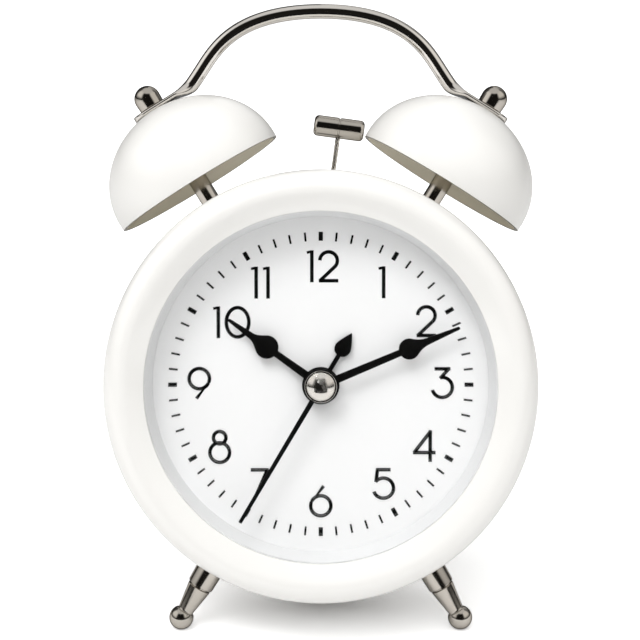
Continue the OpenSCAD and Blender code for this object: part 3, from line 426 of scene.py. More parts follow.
def add_node(
    tree: bpy.types.NodeTree, kind: str, values: dict[str | int, object], **settings: str
) -> bpy.types.Node:
    """Adds a node.

    Args:
        tree: The nodes.
        kind: The kind of node.
        values: A value or a socket for each input, by its name or number.
        settings: The node's own settings.

    Returns:
        The node.
    """
    node = tree.nodes.new(f"ShaderNode{kind}")
    for name, value in settings.items():
        setattr(node, name, value)
    feed(tree, node, values)
    return node


def add_ramp(
    tree: bpy.types.NodeTree, share: bpy.types.NodeSocket, stops: Sequence[tuple[float, Colour]]
) -> bpy.types.NodeSocket:
    """Adds a ramp of colours.

    Args:
        tree: The nodes.
        share: Share of the way along the ramp.
        stops: Place and colour of each stop, in their order.

    Returns:
        The colour.
    """
    node = add_node(tree, "ValToRGB", {"Fac": share})
    row = node.color_ramp.elements
    for stop, (place, colour) in zip(row, (stops[0], stops[-1])):
        stop.position = place
        stop.color = (*colour, 1.0)
    for place, colour in stops[1:-1]:
        row.new(place).color = (*colour, 1.0)
    return node.outputs["Color"]


def add_range(
    tree: bpy.types.NodeTree, value: bpy.types.NodeSocket, span: Point2, ends: Point2 = (0.0, 1.0)
) -> bpy.types.NodeSocket:
    """Adds a step from one range of values to another.

    Args:
        tree: The nodes.
        value: The value.
        span: Ends of its range.
        ends: What these become.

    Returns:
        The result.
    """
    low, high = span
    least, most = ends
    values = {"Value": value, "From Min": low, "From Max": high, "To Min": least, "To Max": most}
    return add_node(tree, "MapRange", values).outputs["Result"]


@dataclass(frozen=True)
class Finish:
    """A surface with a broad mottle of two tones and a fine layer in gloss and relief.

    Attributes:
        name: Name of the material.
        light: Colour of the paler tone.
        dark: Colour of the darker tone.
        rough: Least and greatest roughness.
        metal: Share of metal.
        mottle: Waves of the mottle in a metre.
        grain: Waves of the fine layer in a metre.
        relief: Height of the fine layer in metres.
        coat: Share of clear lacquer.
        glow: Strength of the light painted on it for the camera alone, rising from none in the painted shadow
            at the middle of the room.
        shine: Strength of the mirror light on what isn't metal.
        edge: Share of the mirror light that a metal keeps at a glancing angle.
        clear: Share of its surface that is seen.
        through: Share of light that goes through it.
        pattern: What the fine layer is made of.
    """

    name: str
    light: Colour
    dark: Colour
    rough: tuple[float, float]
    metal: float = 0.0
    mottle: float = 40.0
    grain: float = 1200.0
    relief: float = 0.00001
    coat: float = 0.0
    glow: float = 0.0
    shine: float = 0.5
    edge: float = 1.0
    clear: float = 1.0
    through: float = 0.0
    pattern: Pattern = Pattern.GRAIN

    def material(self) -> bpy.types.Material:
        """Makes the material, or finds it where it is made already.

        Returns:
            The material.
        """
        made = bpy.data.materials.get(self.name)
        if made is not None:
            return made
        made = bpy.data.materials.new(self.name)
        made.use_nodes = True
        tree = made.node_tree
        shader = tree.nodes["Principled BSDF"]
        coords = tree.nodes.new("ShaderNodeTexCoord").outputs["Object"]
        broad = self._noise(tree, coords, self.mottle)
        tone = add_ramp(tree, broad, list(zip(NOISE_SPAN, (self.dark, self.light))))
        fine = self._fine(tree, coords)
        bump = add_node(tree, "Bump", {"Height": fine, "Strength": 1.0, "Distance": self.relief})
        feed(tree, shader, {
            "Base Color": tone,
            "Metallic": self.metal,
            "Roughness": add_range(tree, fine, NOISE_SPAN, self.rough),
            "Normal": bump.outputs["Normal"],
            "Alpha": self.clear,
            "Transmission Weight": self.through,
            "Specular IOR Level": self.shine,
            "Specular Tint": (self.edge, self.edge, self.edge, 1.0),
            "Coat Weight": self.coat,
            "Coat Roughness": COAT_ROUGH,
        })
        if self.glow > 0.0:
            self._light_up(tree, coords, shader)
        return made

    @staticmethod
    def _noise(
        tree: bpy.types.NodeTree, coords: bpy.types.NodeSocket, waves: float, stretch: Point3 = EVEN
    ) -> bpy.types.NodeSocket:
        """Adds a noise on the piece's own coordinates.

        Args:
            tree: The material's nodes.
            coords: The coordinates.
            waves: Waves in a metre.
            stretch: Scale of the coordinates along each axis.

        Returns:
            The noise's value.
        """
        drawn = add_node(tree, "Mapping", {"Vector": coords, "Scale": stretch}).outputs["Vector"]
        return add_node(
            tree, "TexNoise", {"Vector": drawn, "Scale": waves, "Detail": NOISE_DETAIL}
        ).outputs["Fac"]

    def _light_up(
        self, tree: bpy.types.NodeTree, coords: bpy.types.NodeSocket, shader: bpy.types.ShaderNode
    ) -> None:
        """Paints light on the floor that only the camera sees: none in an ellipse round the clock, which
        stands as a painted shadow, and more further out. It doesn't light the clock.

        Args:
            tree: The material's nodes.
            coords: The coordinates.
            shader: The surface's shader.
        """
        values = {"Vector": coords, "Location": PAINTED_SHADOW_MIDDLE, "Scale": PAINTED_SHADOW_SPREAD}
        spread = add_node(tree, "Mapping", values).outputs["Vector"]
        far = add_node(tree, "VectorMath", {0: spread}, operation="LENGTH").outputs["Value"]
        levels = [(place, (share * self.glow,) * 3) for place, share in PAINTED_FLOOR_LIGHT_STOPS]
        seen = tree.nodes.new("ShaderNodeLightPath").outputs["Is Camera Ray"]
        only = add_node(tree, "Math", {0: add_ramp(tree, far, levels), 1: seen}, operation="MULTIPLY")
        feed(tree, shader, {
            "Emission Color": (*EVEN, 1.0),
            "Emission Strength": only.outputs["Value"],
        })

    def _fine(self, tree: bpy.types.NodeTree, coords: bpy.types.NodeSocket) -> bpy.types.NodeSocket:
        """Adds the fine layer.

        Args:
            tree: The material's nodes.
            coords: The coordinates.

        Returns:
            The layer's value.
        """
        if self.pattern is Pattern.GRAIN:
            return self._noise(tree, coords, self.grain)
        if self.pattern is Pattern.BRUSHED:
            return self._noise(tree, coords, self.grain, BRUSHED_ALONG_X)
        values = {"Vector": coords, "Scale": self.grain}
        if self.pattern is Pattern.TRACKS:
            return add_node(tree, "TexBrick", {**values, "Mortar Size": TRACK_GAP}).outputs["Fac"]
        way = "X" if self.pattern is Pattern.WOUND_X else "Z"
        values["Distortion"] = WINDING_WAVER
        return add_node(tree, "TexWave", values, bands_direction=way).outputs["Fac"]


WHITE_PAINT = Finish(
    "white_satin_paint", (0.80, 0.792, 0.770), (0.788, 0.780, 0.758), (0.29, 0.36),
    grain=900.0, relief=0.0000005, coat=0.8
)
BELL_PAINT = replace(WHITE_PAINT, name="white_bell_paint", coat=0.35)
# Inner wall of the bells: a warm tint, made paler than the outer paint as painted fill light for the shaded
# hollow.
BELL_INSIDE_PAINTED_FILL = Finish(
    "warm_bell_inside_painted_fill", (0.95, 0.905, 0.79), (0.92, 0.875, 0.76), (0.42, 0.6), grain=900.0
)
# Faces round the edge of each bell's mouth, coloured near black so a dark line runs round the rim.
BELL_EDGE = Finish(
    "dark_bell_mouth_edge", (0.15, 0.137, 0.105), (0.12, 0.108, 0.08), (0.4, 0.55), grain=900.0
)
# Its edge of 0.1, which the darker copy keeps, darkens the reflections at glancing angles: painted shade
# round the outline of the metal parts.
NICKEL = Finish(
    "bright_nickel", (0.74, 0.71, 0.67), (0.71, 0.68, 0.64), (0.07, 0.12),
    metal=1.0, grain=2500.0, relief=0.0000001, edge=0.1
)
# The same nickel with a darker colour for feet, collars, posts, nuts and hammer head: painted shade for the
# darker reflections on them.
NICKEL_PAINTED_DARKER = replace(
    NICKEL, name="nickel_with_painted_shade", light=(0.52, 0.485, 0.44), dark=(0.48, 0.45, 0.405), rough=(0.08, 0.14)
)
DIAL_WHITE = Finish(
    "dial_white_lacquer", (0.86, 0.862, 0.865), (0.85, 0.852, 0.855), (0.45, 0.6), grain=3000.0
)
# Ring under the lens: its grey below the dial's white is partly painted shade for the shadow of the lip above
# it.
DIAL_RING_PAINTED_SHADE = Finish(
    "ring_lacquer_with_painted_shade", (0.75, 0.755, 0.76), (0.73, 0.735, 0.74), (0.4, 0.55), grain=2500.0
)
DIAL_INK = Finish(
    "black_dial_ink", (0.004, 0.004, 0.004), (0.002, 0.002, 0.002), (0.4, 0.6), grain=4000.0, shine=0.1
)
HAND_BLACK = replace(DIAL_INK, name="black_hand_lacquer", rough=(0.3, 0.45), grain=2200.0, shine=0.15)
LENS_CLEAR = Finish(
    "clear_lens", (0.96, 0.98, 0.97), (0.93, 0.95, 0.94), (0.01, 0.05),
    grain=90.0, relief=0.0000002, clear=0.06, through=1.0
)
STEEL = Finish(
    "zinc_plated_steel", (0.60, 0.60, 0.60), (0.50, 0.50, 0.51), (0.28, 0.42),
    metal=1.0, grain=900.0, relief=0.000002, pattern=Pattern.BRUSHED
)
BRASS = Finish(
    "lathe_turned_brass", (0.80, 0.60, 0.27), (0.68, 0.49, 0.20), (0.18, 0.34),
    metal=1.0, grain=1500.0, relief=0.000002, pattern=Pattern.BRUSHED
)
COVER_PLASTIC = Finish(
    "white_cover_plastic", (0.80, 0.795, 0.77), (0.77, 0.765, 0.74), (0.4, 0.55), grain=2600.0, relief=0.00002
)
KNOB_PLASTIC = Finish(
    "black_knob_plastic", (0.03, 0.03, 0.031), (0.02, 0.02, 0.021), (0.38, 0.55),
    grain=2400.0, relief=0.000012
)
NYLON = Finish("milky_nylon", (0.78, 0.77, 0.71), (0.72, 0.71, 0.65), (0.32, 0.45), grain=900.0)
MAGNET = Finish(
    "sintered_magnet", (0.16, 0.16, 0.17), (0.11, 0.11, 0.12), (0.45, 0.65), metal=0.7, grain=3500.0
)
COPPER_X = Finish(
    "enamelled_copper_winding", (0.72, 0.30, 0.14), (0.55, 0.21, 0.09), (0.2, 0.4),
    metal=0.9, grain=600.0, relief=0.00005, pattern=Pattern.WOUND_X
)
COPPER_Z = replace(
    COPPER_X, name="striker_copper_winding", grain=500.0, relief=0.00006, pattern=Pattern.WOUND_Z
)
BOARD = Finish(
    "green_circuit_board", (0.03, 0.20, 0.09), (0.02, 0.14, 0.06), (0.25, 0.5),
    grain=260.0, relief=0.00003, pattern=Pattern.TRACKS
)
CELL_JACKET = Finish(
    "cell_jacket_film", (0.10, 0.13, 0.17), (0.07, 0.10, 0.13), (0.2, 0.32), metal=0.3, grain=500.0, coat=0.3
)
# The floor carries painted light that only the camera sees, with a painted shadow round the clock.
FLOOR = Finish(
    "pale_studio_floor", (0.93, 0.93, 0.93), (0.92, 0.92, 0.92), (0.6, 0.75), mottle=3.0, grain=60.0, glow=0.8
)
CARD = Finish(
    "black_studio_card", (0.006, 0.006, 0.006), (0.004, 0.004, 0.004), (0.8, 0.95),
    mottle=3.0, grain=60.0, shine=0.1
)


# Sub-assemblies


@dataclass
class SubAssembly:
    """A group of pieces that is built and dressed together."""

    pieces: list[bpy.types.Object] = field(default_factory=list, init=False)

    def keep(
        self, obj: bpy.types.Object, name: str, place: Matrix, body: str, finish: Finish, slot: str,
        *nodes: str,
    ) -> None:
        """Names a finished mesh, sets it in its place, dresses it and ties it to its body.

        Args:
            obj: The mesh, drawn in millimetres.
            name: Name of the piece.
            place: Its frame in the clock.
            body: The body that it moves with.
            finish: Its finish.
            slot: Its material slot in the record; not used.
            nodes: The solids that it stands for.
        """
        fix(obj, CLOCK @ place)
        bpy.ops.object.shade_smooth_by_angle(angle=math.radians(SMOOTH_BELOW))
        obj.name = name
        obj.data.name = name
        if not obj.data.materials:
            obj.data.materials.append(finish.material())
        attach(obj, body)
        if nodes:
            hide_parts(*nodes)
        idle()
        self.pieces.append(obj)
        LOG.info("%s: %d faces", name, len(obj.data.polygons))


@dataclass
class Case(SubAssembly):
    """Drum, front ring, lens and the ring under it, greyed partly with painted shade."""

    ring_r: float = 49.5
    ring_round: float = 5.5
    ring_y: float = -8.0
    lip_r: float = 44.5
    lip_y: float = -11.1
    lip_edge: float = 0.3
    crest_turn: float = 78.0
    crest_share: float = 0.2
    pocket_r: float = 46.5
    lens_y: float = -10.0
    lens_t: float = 1.6
    lens_r: float = 46.4
    lens_edge: float = 0.15
    dial_seen_r: float = 43.3
    drum_r: float = 54.0
    wall: float = 1.0
    drum_y: float = 0.6
    drum_end: float = 49.6
    bead_r: float = 1.0
    bead_at: float = 53.7
    hole_r: float = 37.44
    seam: float = 0.15
    slot_in: float = 3.2
    slot_r: float = 1.5
    slot_y: float = 22.0

    def build(self) -> None:
        """Builds the pieces of the case."""
        self.build_ring()
        self.build_drum()
        self.build_lens()

    def build_ring(self) -> None:
        """Turns the front ring: a round outer edge and a sloping inner face down to the lens."""
        low = -math.degrees(math.acos((self.drum_r - self.ring_r) / self.ring_round))
        edge = arc((self.ring_r, self.ring_y), self.ring_round, low, self.crest_turn, 32, -1.0)
        crest = (self.ring_r, self.ring_y - self.ring_round)
        slope = Vector((self.lip_r, self.lip_y)) - Vector(crest)
        inner = tuple(Vector(crest) + slope * self.crest_share)
        lip = tuple(Vector((self.lip_r, self.lip_y)) - slope.normalized() * self.lip_edge)
        profile = [
            (self.pocket_r, self.drum_y),
            (self.drum_r - self.seam, self.drum_y),
            (self.drum_r, self.drum_y - self.seam),
            *edge,
            *bend((edge[-1], crest, inner), 6)[1:],
            *bend((lip, (self.lip_r, self.lip_y), (self.lip_r, self.lip_y + self.lip_edge)), 4),
            (self.lip_r, self.lens_y),
            (self.pocket_r, self.lens_y),
        ]
        ring = turned(profile, FINE_LATHE)
        self.keep(ring, "front_ring", ABOUT_AXIS, "case", WHITE_PAINT, "white_paint", "front_bezel")

    def build_drum(self) -> None:
        """Turns the drum with its front flange and rolled rear edge, and cuts the hammer's slot."""
        rise = self.drum_r - self.bead_at
        dip = self.bead_at - (self.drum_r - self.wall)
        start = -math.degrees(math.acos(rise / self.bead_r))
        end = 180.0 + math.degrees(math.acos(dip / self.bead_r))
        profile = [
            (self.hole_r, self.drum_y),
            (self.drum_r - self.seam, self.drum_y),
            (self.drum_r, self.drum_y + self.seam),
            *arc((self.bead_at, self.drum_end), self.bead_r, start, end, 20),
            (self.drum_r - self.wall, self.drum_y + self.wall),
            (self.hole_r, self.drum_y + self.wall),
        ]
        drum = turned(profile, FINE_LATHE)
        fix(drum, ABOUT_AXIS)
        bore(drum, self.slot_cutter())
        self.keep(drum, "drum_shell", Matrix(), "case", WHITE_PAINT, "white_paint", "case_drum")

    def slot_cutter(self) -> bpy.types.Object:
        """Makes the long round-ended bar that cuts the hammer's slot.

        Returns:
            The bar.
        """
        middle = Matrix.Translation((0.0, self.slot_y, self.drum_r * 1.5))
        bar = round_bar(self.slot_r, 2.0 * self.drum_r, middle)
        bpy.ops.object.mode_set(mode="EDIT")
        for way in (-1.0, 1.0):
            pick(bar, lambda co: co.x * way > NEAR)
            bpy.ops.transform.translate(value=(way * self.slot_in, 0.0, 0.0))
        idle()
        return bar

    def build_lens(self) -> None:
        """Turns the clear lens and the ring that leads down from it to the dial, greyed partly with painted
        shade.
        """
        edge = self.lens_edge
        back = self.lens_y + self.lens_t
        lens = [
            (0.0, self.lens_y),
            (self.lens_r - edge, self.lens_y),
            (self.lens_r, self.lens_y + edge),
            (self.lens_r, back - edge),
            (self.lens_r - edge, back),
            (0.0, back),
        ]
        self.keep(turned(lens, LATHE), "clear_lens", ABOUT_AXIS, "case", LENS_CLEAR, "lens", "lens")
        ring = [
            (self.lip_r + edge, back),
            (self.lens_r, back),
            (self.lens_r, 0.0),
            (self.dial_seen_r + edge, 0.0),
            (self.dial_seen_r, -edge),
            (self.lip_r, back + edge),
        ]
        self.keep(turned(ring, LATHE), "grey_ring", ABOUT_AXIS, "case", DIAL_RING_PAINTED_SHADE, "dial_grey", "dial_ring")


@dataclass
class Bells(SubAssembly):
    """The two bells with their posts and domed nuts."""

    turn: float = 31.8342
    y: float = 22.0
    mouth: float = 61.6
    crown: float = 84.5
    radius: float = 24.3
    belly: float = 1.8
    wall: float = 1.0
    lip_drop: float = 0.12
    inside_share: float = 0.955
    edge_face: float = -0.6
    edge_zone: float = 0.05
    crown_r: float = 4.5
    hole_r: float = 1.6
    post_r: float = 2.6
    post_foot: float = 54.0
    stud_r: float = 1.5
    stud_low: float = 49.2
    stud_high: float = 88.4
    chamfer: float = 0.2
    nut_at: float = 85.8
    nut_base_r: float = 3.45
    nut_r: float = 3.55
    nut_side: float = 2.6

    def build(self) -> None:
        """Builds both bells, posts and nuts."""
        for side in Side:
            place = spoke(side.value * self.turn, self.y)
            word = side.word
            bell = self.bell()
            self.keep(bell, f"{word}_bell_shell", place, "case", BELL_PAINT, "white_paint", f"{word}_bell")
            post = turned(self.post_profile(), THIN_LATHE)
            self.keep(post, f"{word}_post", place, "case", NICKEL_PAINTED_DARKER, "chrome", f"{word}_bell_post")
            nut = turned(self.nut_profile(), SMALL_LATHE)
            self.keep(nut, f"{word}_domed_nut", place, "case", NICKEL_PAINTED_DARKER, "chrome", f"{word}_dome_nut")

    def wall_line(self, inset: float) -> list[Point2]:
        """Lists the outline of one face of the bell's wall, from the mouth to the crown.

        Args:
            inset: Distance of the face under the outer one.

        Returns:
            Radius and height of each point.
        """
        radius = self.radius - inset
        top = self.crown - self.mouth - inset
        rise = (top - self.belly) / math.sqrt(1.0 - (self.crown_r / radius) ** 2)
        low = -math.degrees(math.asin(self.belly / rise))
        high = math.degrees(math.acos(self.crown_r / radius))
        return arc((0.0, self.mouth + self.belly), radius, low, high, 40, rise / radius)

    def bell(self) -> bpy.types.Object:
        """Turns one bell and gives its inner face the paler warm finish, which carries painted fill light,
        and its edge the near-black one.

        Returns:
            The bell, with its three finishes.
        """
        outer = self.wall_line(0.0)
        inner = self.wall_line(self.wall)
        low = self.mouth - self.lip_drop
        lip = bend((inner[0], (inner[0][0], low), (outer[0][0], low), outer[0]), 5)
        profile = [
            *lip,
            *outer[1:],
            (self.hole_r, self.crown),
            (self.hole_r, self.crown - self.wall),
            *reversed(inner[1:]),
        ]
        obj = turned(profile, LATHE)
        for finish in (BELL_PAINT, BELL_INSIDE_PAINTED_FILL, BELL_EDGE):
            obj.data.materials.append(finish.material())
        top = self.crown - self.mouth - self.belly

        def inside(middle: Vector, _normal: Vector) -> bool:
            """Says whether a face belongs to the inner wall."""
            across = math.hypot(middle.x, middle.y) / self.radius
            along = (middle.z - self.mouth - self.belly) / top
            inner = across * across + along * along < self.inside_share
            return inner and middle.z < self.crown - self.wall / 2.0

        def edge(middle: Vector, normal: Vector) -> bool:
            """Says whether a face belongs to the edge round the mouth."""
            return normal.z < self.edge_face and middle.z < self.mouth + self.edge_zone

        for slot, test in enumerate((inside, edge), 1):
            pick_faces(obj, test)
            obj.active_material_index = slot
            bpy.ops.object.material_slot_assign()
        return obj

    def post_profile(self) -> list[Point2]:
        """Lists the outline of a post with the studs at its ends."""
        top = self.crown - self.wall
        return [
            (0.0, self.stud_low),
            (self.stud_r - self.chamfer, self.stud_low),
            (self.stud_r, self.stud_low + self.chamfer),
            (self.stud_r, self.post_foot),
            (self.post_r - self.chamfer, self.post_foot),
            (self.post_r, self.post_foot + self.chamfer),
            (self.post_r, top - self.chamfer),
            (self.post_r - self.chamfer, top),
            (self.stud_r, top),
            (self.stud_r, self.stud_high),
            (0.0, self.stud_high),
        ]

    def nut_profile(self) -> list[Point2]:
        """Lists the outline of a domed nut."""
        rim = self.nut_at + self.nut_side
        return [
            (self.hole_r, self.nut_at),
            (self.nut_base_r - self.chamfer, self.nut_at),
            (self.nut_base_r, self.nut_at + self.chamfer),
            *arc((0.0, rim), self.nut_r, 0.0, 90.0, 20),
            (0.0, rim),
            (self.hole_r, rim),
        ]


@dataclass
class Handle(SubAssembly):
    """The carrying handle: a round rod with a flattened tab at each end."""

    y: float = 22.0
    rod: float = 3.9
    tab_w: float = 8.4
    tab_t: float = 1.3
    tab_out: float = 6.0
    tab_in: float = 6.7
    turn: float = 31.8342
    crown: Point2 = (44.5706, 71.7893)
    shoulder: Point2 = (33.4, 84.3)
    corner: Point2 = (25.0, 97.2)
    arch: Point2 = (0.0, 100.45)
    arch_reach: float = 13.6
    leg_slope: float = 32.7
    leg_rise: float = 7.0
    leg_pull: Point2 = (0.2, 0.45)
    swell_share: float = 0.62
    over: float = 1.9
    sides: int = 40
    tab_turns: tuple[float, ...] = (6.0, 18.0, 32.0, 46.0, 60.0, 75.0, 90.0)
    tab_steps: int = 4
    leg_steps: int = 30
    arch_steps: int = 24

    def build(self) -> None:
        """Builds the handle ring by ring along its path."""
        place = Matrix.Translation((0.0, self.y, 0.0))
        self.keep(self.sweep(), "handle_rod", place, "case", NICKEL, "chrome", "carry_handle")

    def stations(self) -> list[tuple[Vector, Vector, float, float, float]]:
        """Lists the stations along the path, from the right tab to the left.

        Returns:
            Underside point, heading, thickness, width and swell of each station.
        """
        turn = math.radians(self.turn)
        slope = math.radians(self.leg_slope)
        tab_way = Vector((-math.cos(turn), math.sin(turn)))
        leg_way = Vector((-math.sin(slope), math.cos(slope)))
        crown = Vector(self.crown)
        shoulder = Vector(self.shoulder)
        arch = Vector(self.arch)
        tab_end = crown + tab_way * self.tab_in + self.outward(tab_way) * self.tab_t
        span = (shoulder - tab_end).length
        leg = (
            tab_end,
            tab_end + tab_way * span * self.leg_pull[0],
            shoulder - leg_way * span * self.leg_pull[1],
            shoulder,
        )
        top = (
            shoulder,
            shoulder + leg_way * self.leg_rise,
            Vector(self.corner),
            arch + Vector((self.arch_reach, 0.0)),
            arch,
        )
        half = []
        radius = self.tab_w / 2.0
        for angle in self.tab_turns:
            back = radius * (1.0 - math.sin(math.radians(90.0 - angle)))
            width = self.tab_w * math.sin(math.radians(angle))
            half.append((crown - tab_way * (self.tab_out - back), tab_way, self.tab_t, width, 0.0))
        for k in range(1, self.tab_steps):
            along = -(self.tab_out - radius) + (self.tab_out - radius + self.tab_in) * k / self.tab_steps
            half.append((crown + tab_way * along, tab_way, self.tab_t, self.tab_w, 0.0))
        for k in range(self.leg_steps + 1):
            t = k / self.leg_steps
            rise = min(1.0, t / self.swell_share)
            swell = rise * rise * (3.0 - 2.0 * rise)
            thick = self.tab_t + (self.rod - self.tab_t) * swell
            width = self.tab_w + (self.rod - self.tab_w) * swell
            way = self.heading(leg, t)
            half.append((bezier(leg, t) - self.outward(way) * thick, way, thick, width, swell))
        for k in range(1, self.arch_steps + 1):
            t = k / self.arch_steps
            way = self.heading(top, t)
            half.append((bezier(top, t) - self.outward(way) * self.rod, way, self.rod, self.rod, 1.0))
        other = [
            (Vector((-spot.x, spot.y)), Vector((way.x, -way.y)), thick, width, swell)
            for spot, way, thick, width, swell in reversed(half[:-1])
        ]
        return half + other

    @staticmethod
    def outward(way: Vector) -> Vector:
        """Gives the way out from the clock, square to a heading."""
        return Vector((way.y, -way.x))

    @staticmethod
    def heading(poles: Sequence[Vector], t: float) -> Vector:
        """Gives the way that a curve runs at one place.

        Args:
            poles: The curve's poles.
            t: Share along the curve.

        Returns:
            A way of length 1.
        """
        steps = [b - a for a, b in zip(poles, poles[1:])]
        return bezier(steps, t).normalized()

    def sweep(self) -> bpy.types.Object:
        """Sets a ring at each station and bridges each to the one before.

        Returns:
            The handle in edit mode.
        """
        obj = blank()
        stations = self.stations()
        for k, station in enumerate(stations):
            self.set_ring(obj, k * self.sides, *station)
            if k > 0:
                pick(obj, first=(k - 1) * self.sides)
                bpy.ops.mesh.bridge_edge_loops()
        for first in (0, (len(stations) - 1) * self.sides):
            pick(obj, first=first, end=first + self.sides)
            bpy.ops.mesh.edge_face_add()
        close_up()
        return obj

    def set_ring(
        self, obj: bpy.types.Object, first: int, under: Vector, way: Vector, thick: float, width: float,
        swell: float,
    ) -> None:
        """Adds one ring, flattens it on both sides as far as its place asks, and sets it on the path.

        Args:
            obj: The handle in edit mode.
            first: Index of the ring's first vertex.
            under: Point of the path under the ring.
            way: Heading of the path.
            thick: Thickness across the path.
            width: Width along the dial's axis.
            swell: 0 where the rod is flattened, 1 where it is round.
        """
        half = thick / 2.0
        centre = under + self.outward(way) * half
        over = 1.0 + (self.over - 1.0) * (1.0 - swell)
        bpy.ops.mesh.primitive_circle_add(vertices=self.sides, radius=1.0)
        bpy.ops.transform.resize(value=(half * over, width / 2.0, 1.0), center_override=ORIGIN)
        if over > 1.0:
            for sign in (-1.0, 1.0):
                pick(obj, lambda co: co.x * sign > half, first)
                bpy.ops.transform.resize(value=(0.0, 1.0, 1.0), center_override=(sign * half, 0.0, 0.0))
            pick(obj, first=first)
        turn = math.atan2(way.x, way.y)
        bpy.ops.transform.rotate(value=-turn, orient_axis="Y", center_override=ORIGIN)
        bpy.ops.transform.translate(value=(centre.x, 0.0, centre.y))


@dataclass
class Feet(SubAssembly):
    """The two splayed feet with their collars."""

    turn: float = 30.6
    y: float = 6.4
    collar_from: float = 54.0
    collar_to: float = 62.4
    collar_r: Point2 = (3.7, 3.45)
    leg_r: Point2 = (3.15, 1.75)
    groove: float = 0.35
    groove_r: float = 2.75
    seat: float = 0.4
    ball_turn: float = -38.0
    fillet: float = 0.55
    fillet_dip: float = 0.1
    ball_at: float = 72.2
    ball_r: float = 3.2
    stud_r: float = 2.0
    stud_low: float = 48.7
    chamfer: float = 0.2

    def build(self) -> None:
        """Builds both collars and feet."""
        for side in Side:
            place = spoke(180.0 - side.value * self.turn, self.y)
            word = side.word
            collar = turned(self.collar_profile(), SMALL_LATHE)
            self.keep(collar, f"{word}_collar", place, "case", NICKEL_PAINTED_DARKER, "chrome", f"{word}_foot_collar")
            foot = turned(self.foot_profile(), SMALL_LATHE)
            self.keep(foot, f"{word}_ball_foot", place, "case", NICKEL_PAINTED_DARKER, "chrome", f"{word}_foot")
            self.flatten(foot)

    def collar_profile(self) -> list[Point2]:
        """Lists the outline of a collar."""
        low = self.collar_from - self.seat
        return [
            (self.stud_r, low),
            (self.collar_r[0], low),
            (self.collar_r[0], self.collar_from),
            (self.collar_r[1], self.collar_to - self.chamfer),
            (self.collar_r[1] - self.chamfer, self.collar_to),
            (self.stud_r, self.collar_to),
        ]

    def foot_profile(self) -> list[Point2]:
        """Lists the outline of a foot: stud, groove, tapered leg and ball."""
        top = self.collar_to + self.groove
        slope = (self.leg_r[1] - self.leg_r[0]) / (self.ball_at - self.collar_to)
        ball = arc((0.0, self.ball_at), self.ball_r, self.ball_turn, 90.0, 26)
        meet = ball[0][1]
        leg_end = (self.leg_r[0] + slope * (meet - self.fillet - self.collar_to), meet - self.fillet)
        corner = (self.leg_r[0] + slope * (meet - self.collar_to), meet - self.fillet_dip)
        return [
            (0.0, self.stud_low),
            (self.stud_r, self.stud_low),
            (self.stud_r, self.collar_to),
            (self.groove_r, self.collar_to),
            (self.groove_r, top),
            (self.leg_r[0] - self.chamfer, top),
            (self.leg_r[0], top + self.chamfer),
            *bend((leg_end, corner, ball[0]), 5),
            *ball[1:],
        ]

    @staticmethod
    def flatten(foot: bpy.types.Object) -> None:
        """Cuts the small flat on which a foot stands.

        Args:
            foot: The foot at its place.
        """
        take(foot)
        bpy.ops.object.mode_set(mode="EDIT")
        bpy.ops.mesh.select_all(action="SELECT")
        bpy.ops.mesh.bisect(
            plane_co=ORIGIN, plane_no=(0.0, 0.0, -1.0), use_fill=True, clear_outer=True, threshold=FLAT_GAP
        )
        idle()


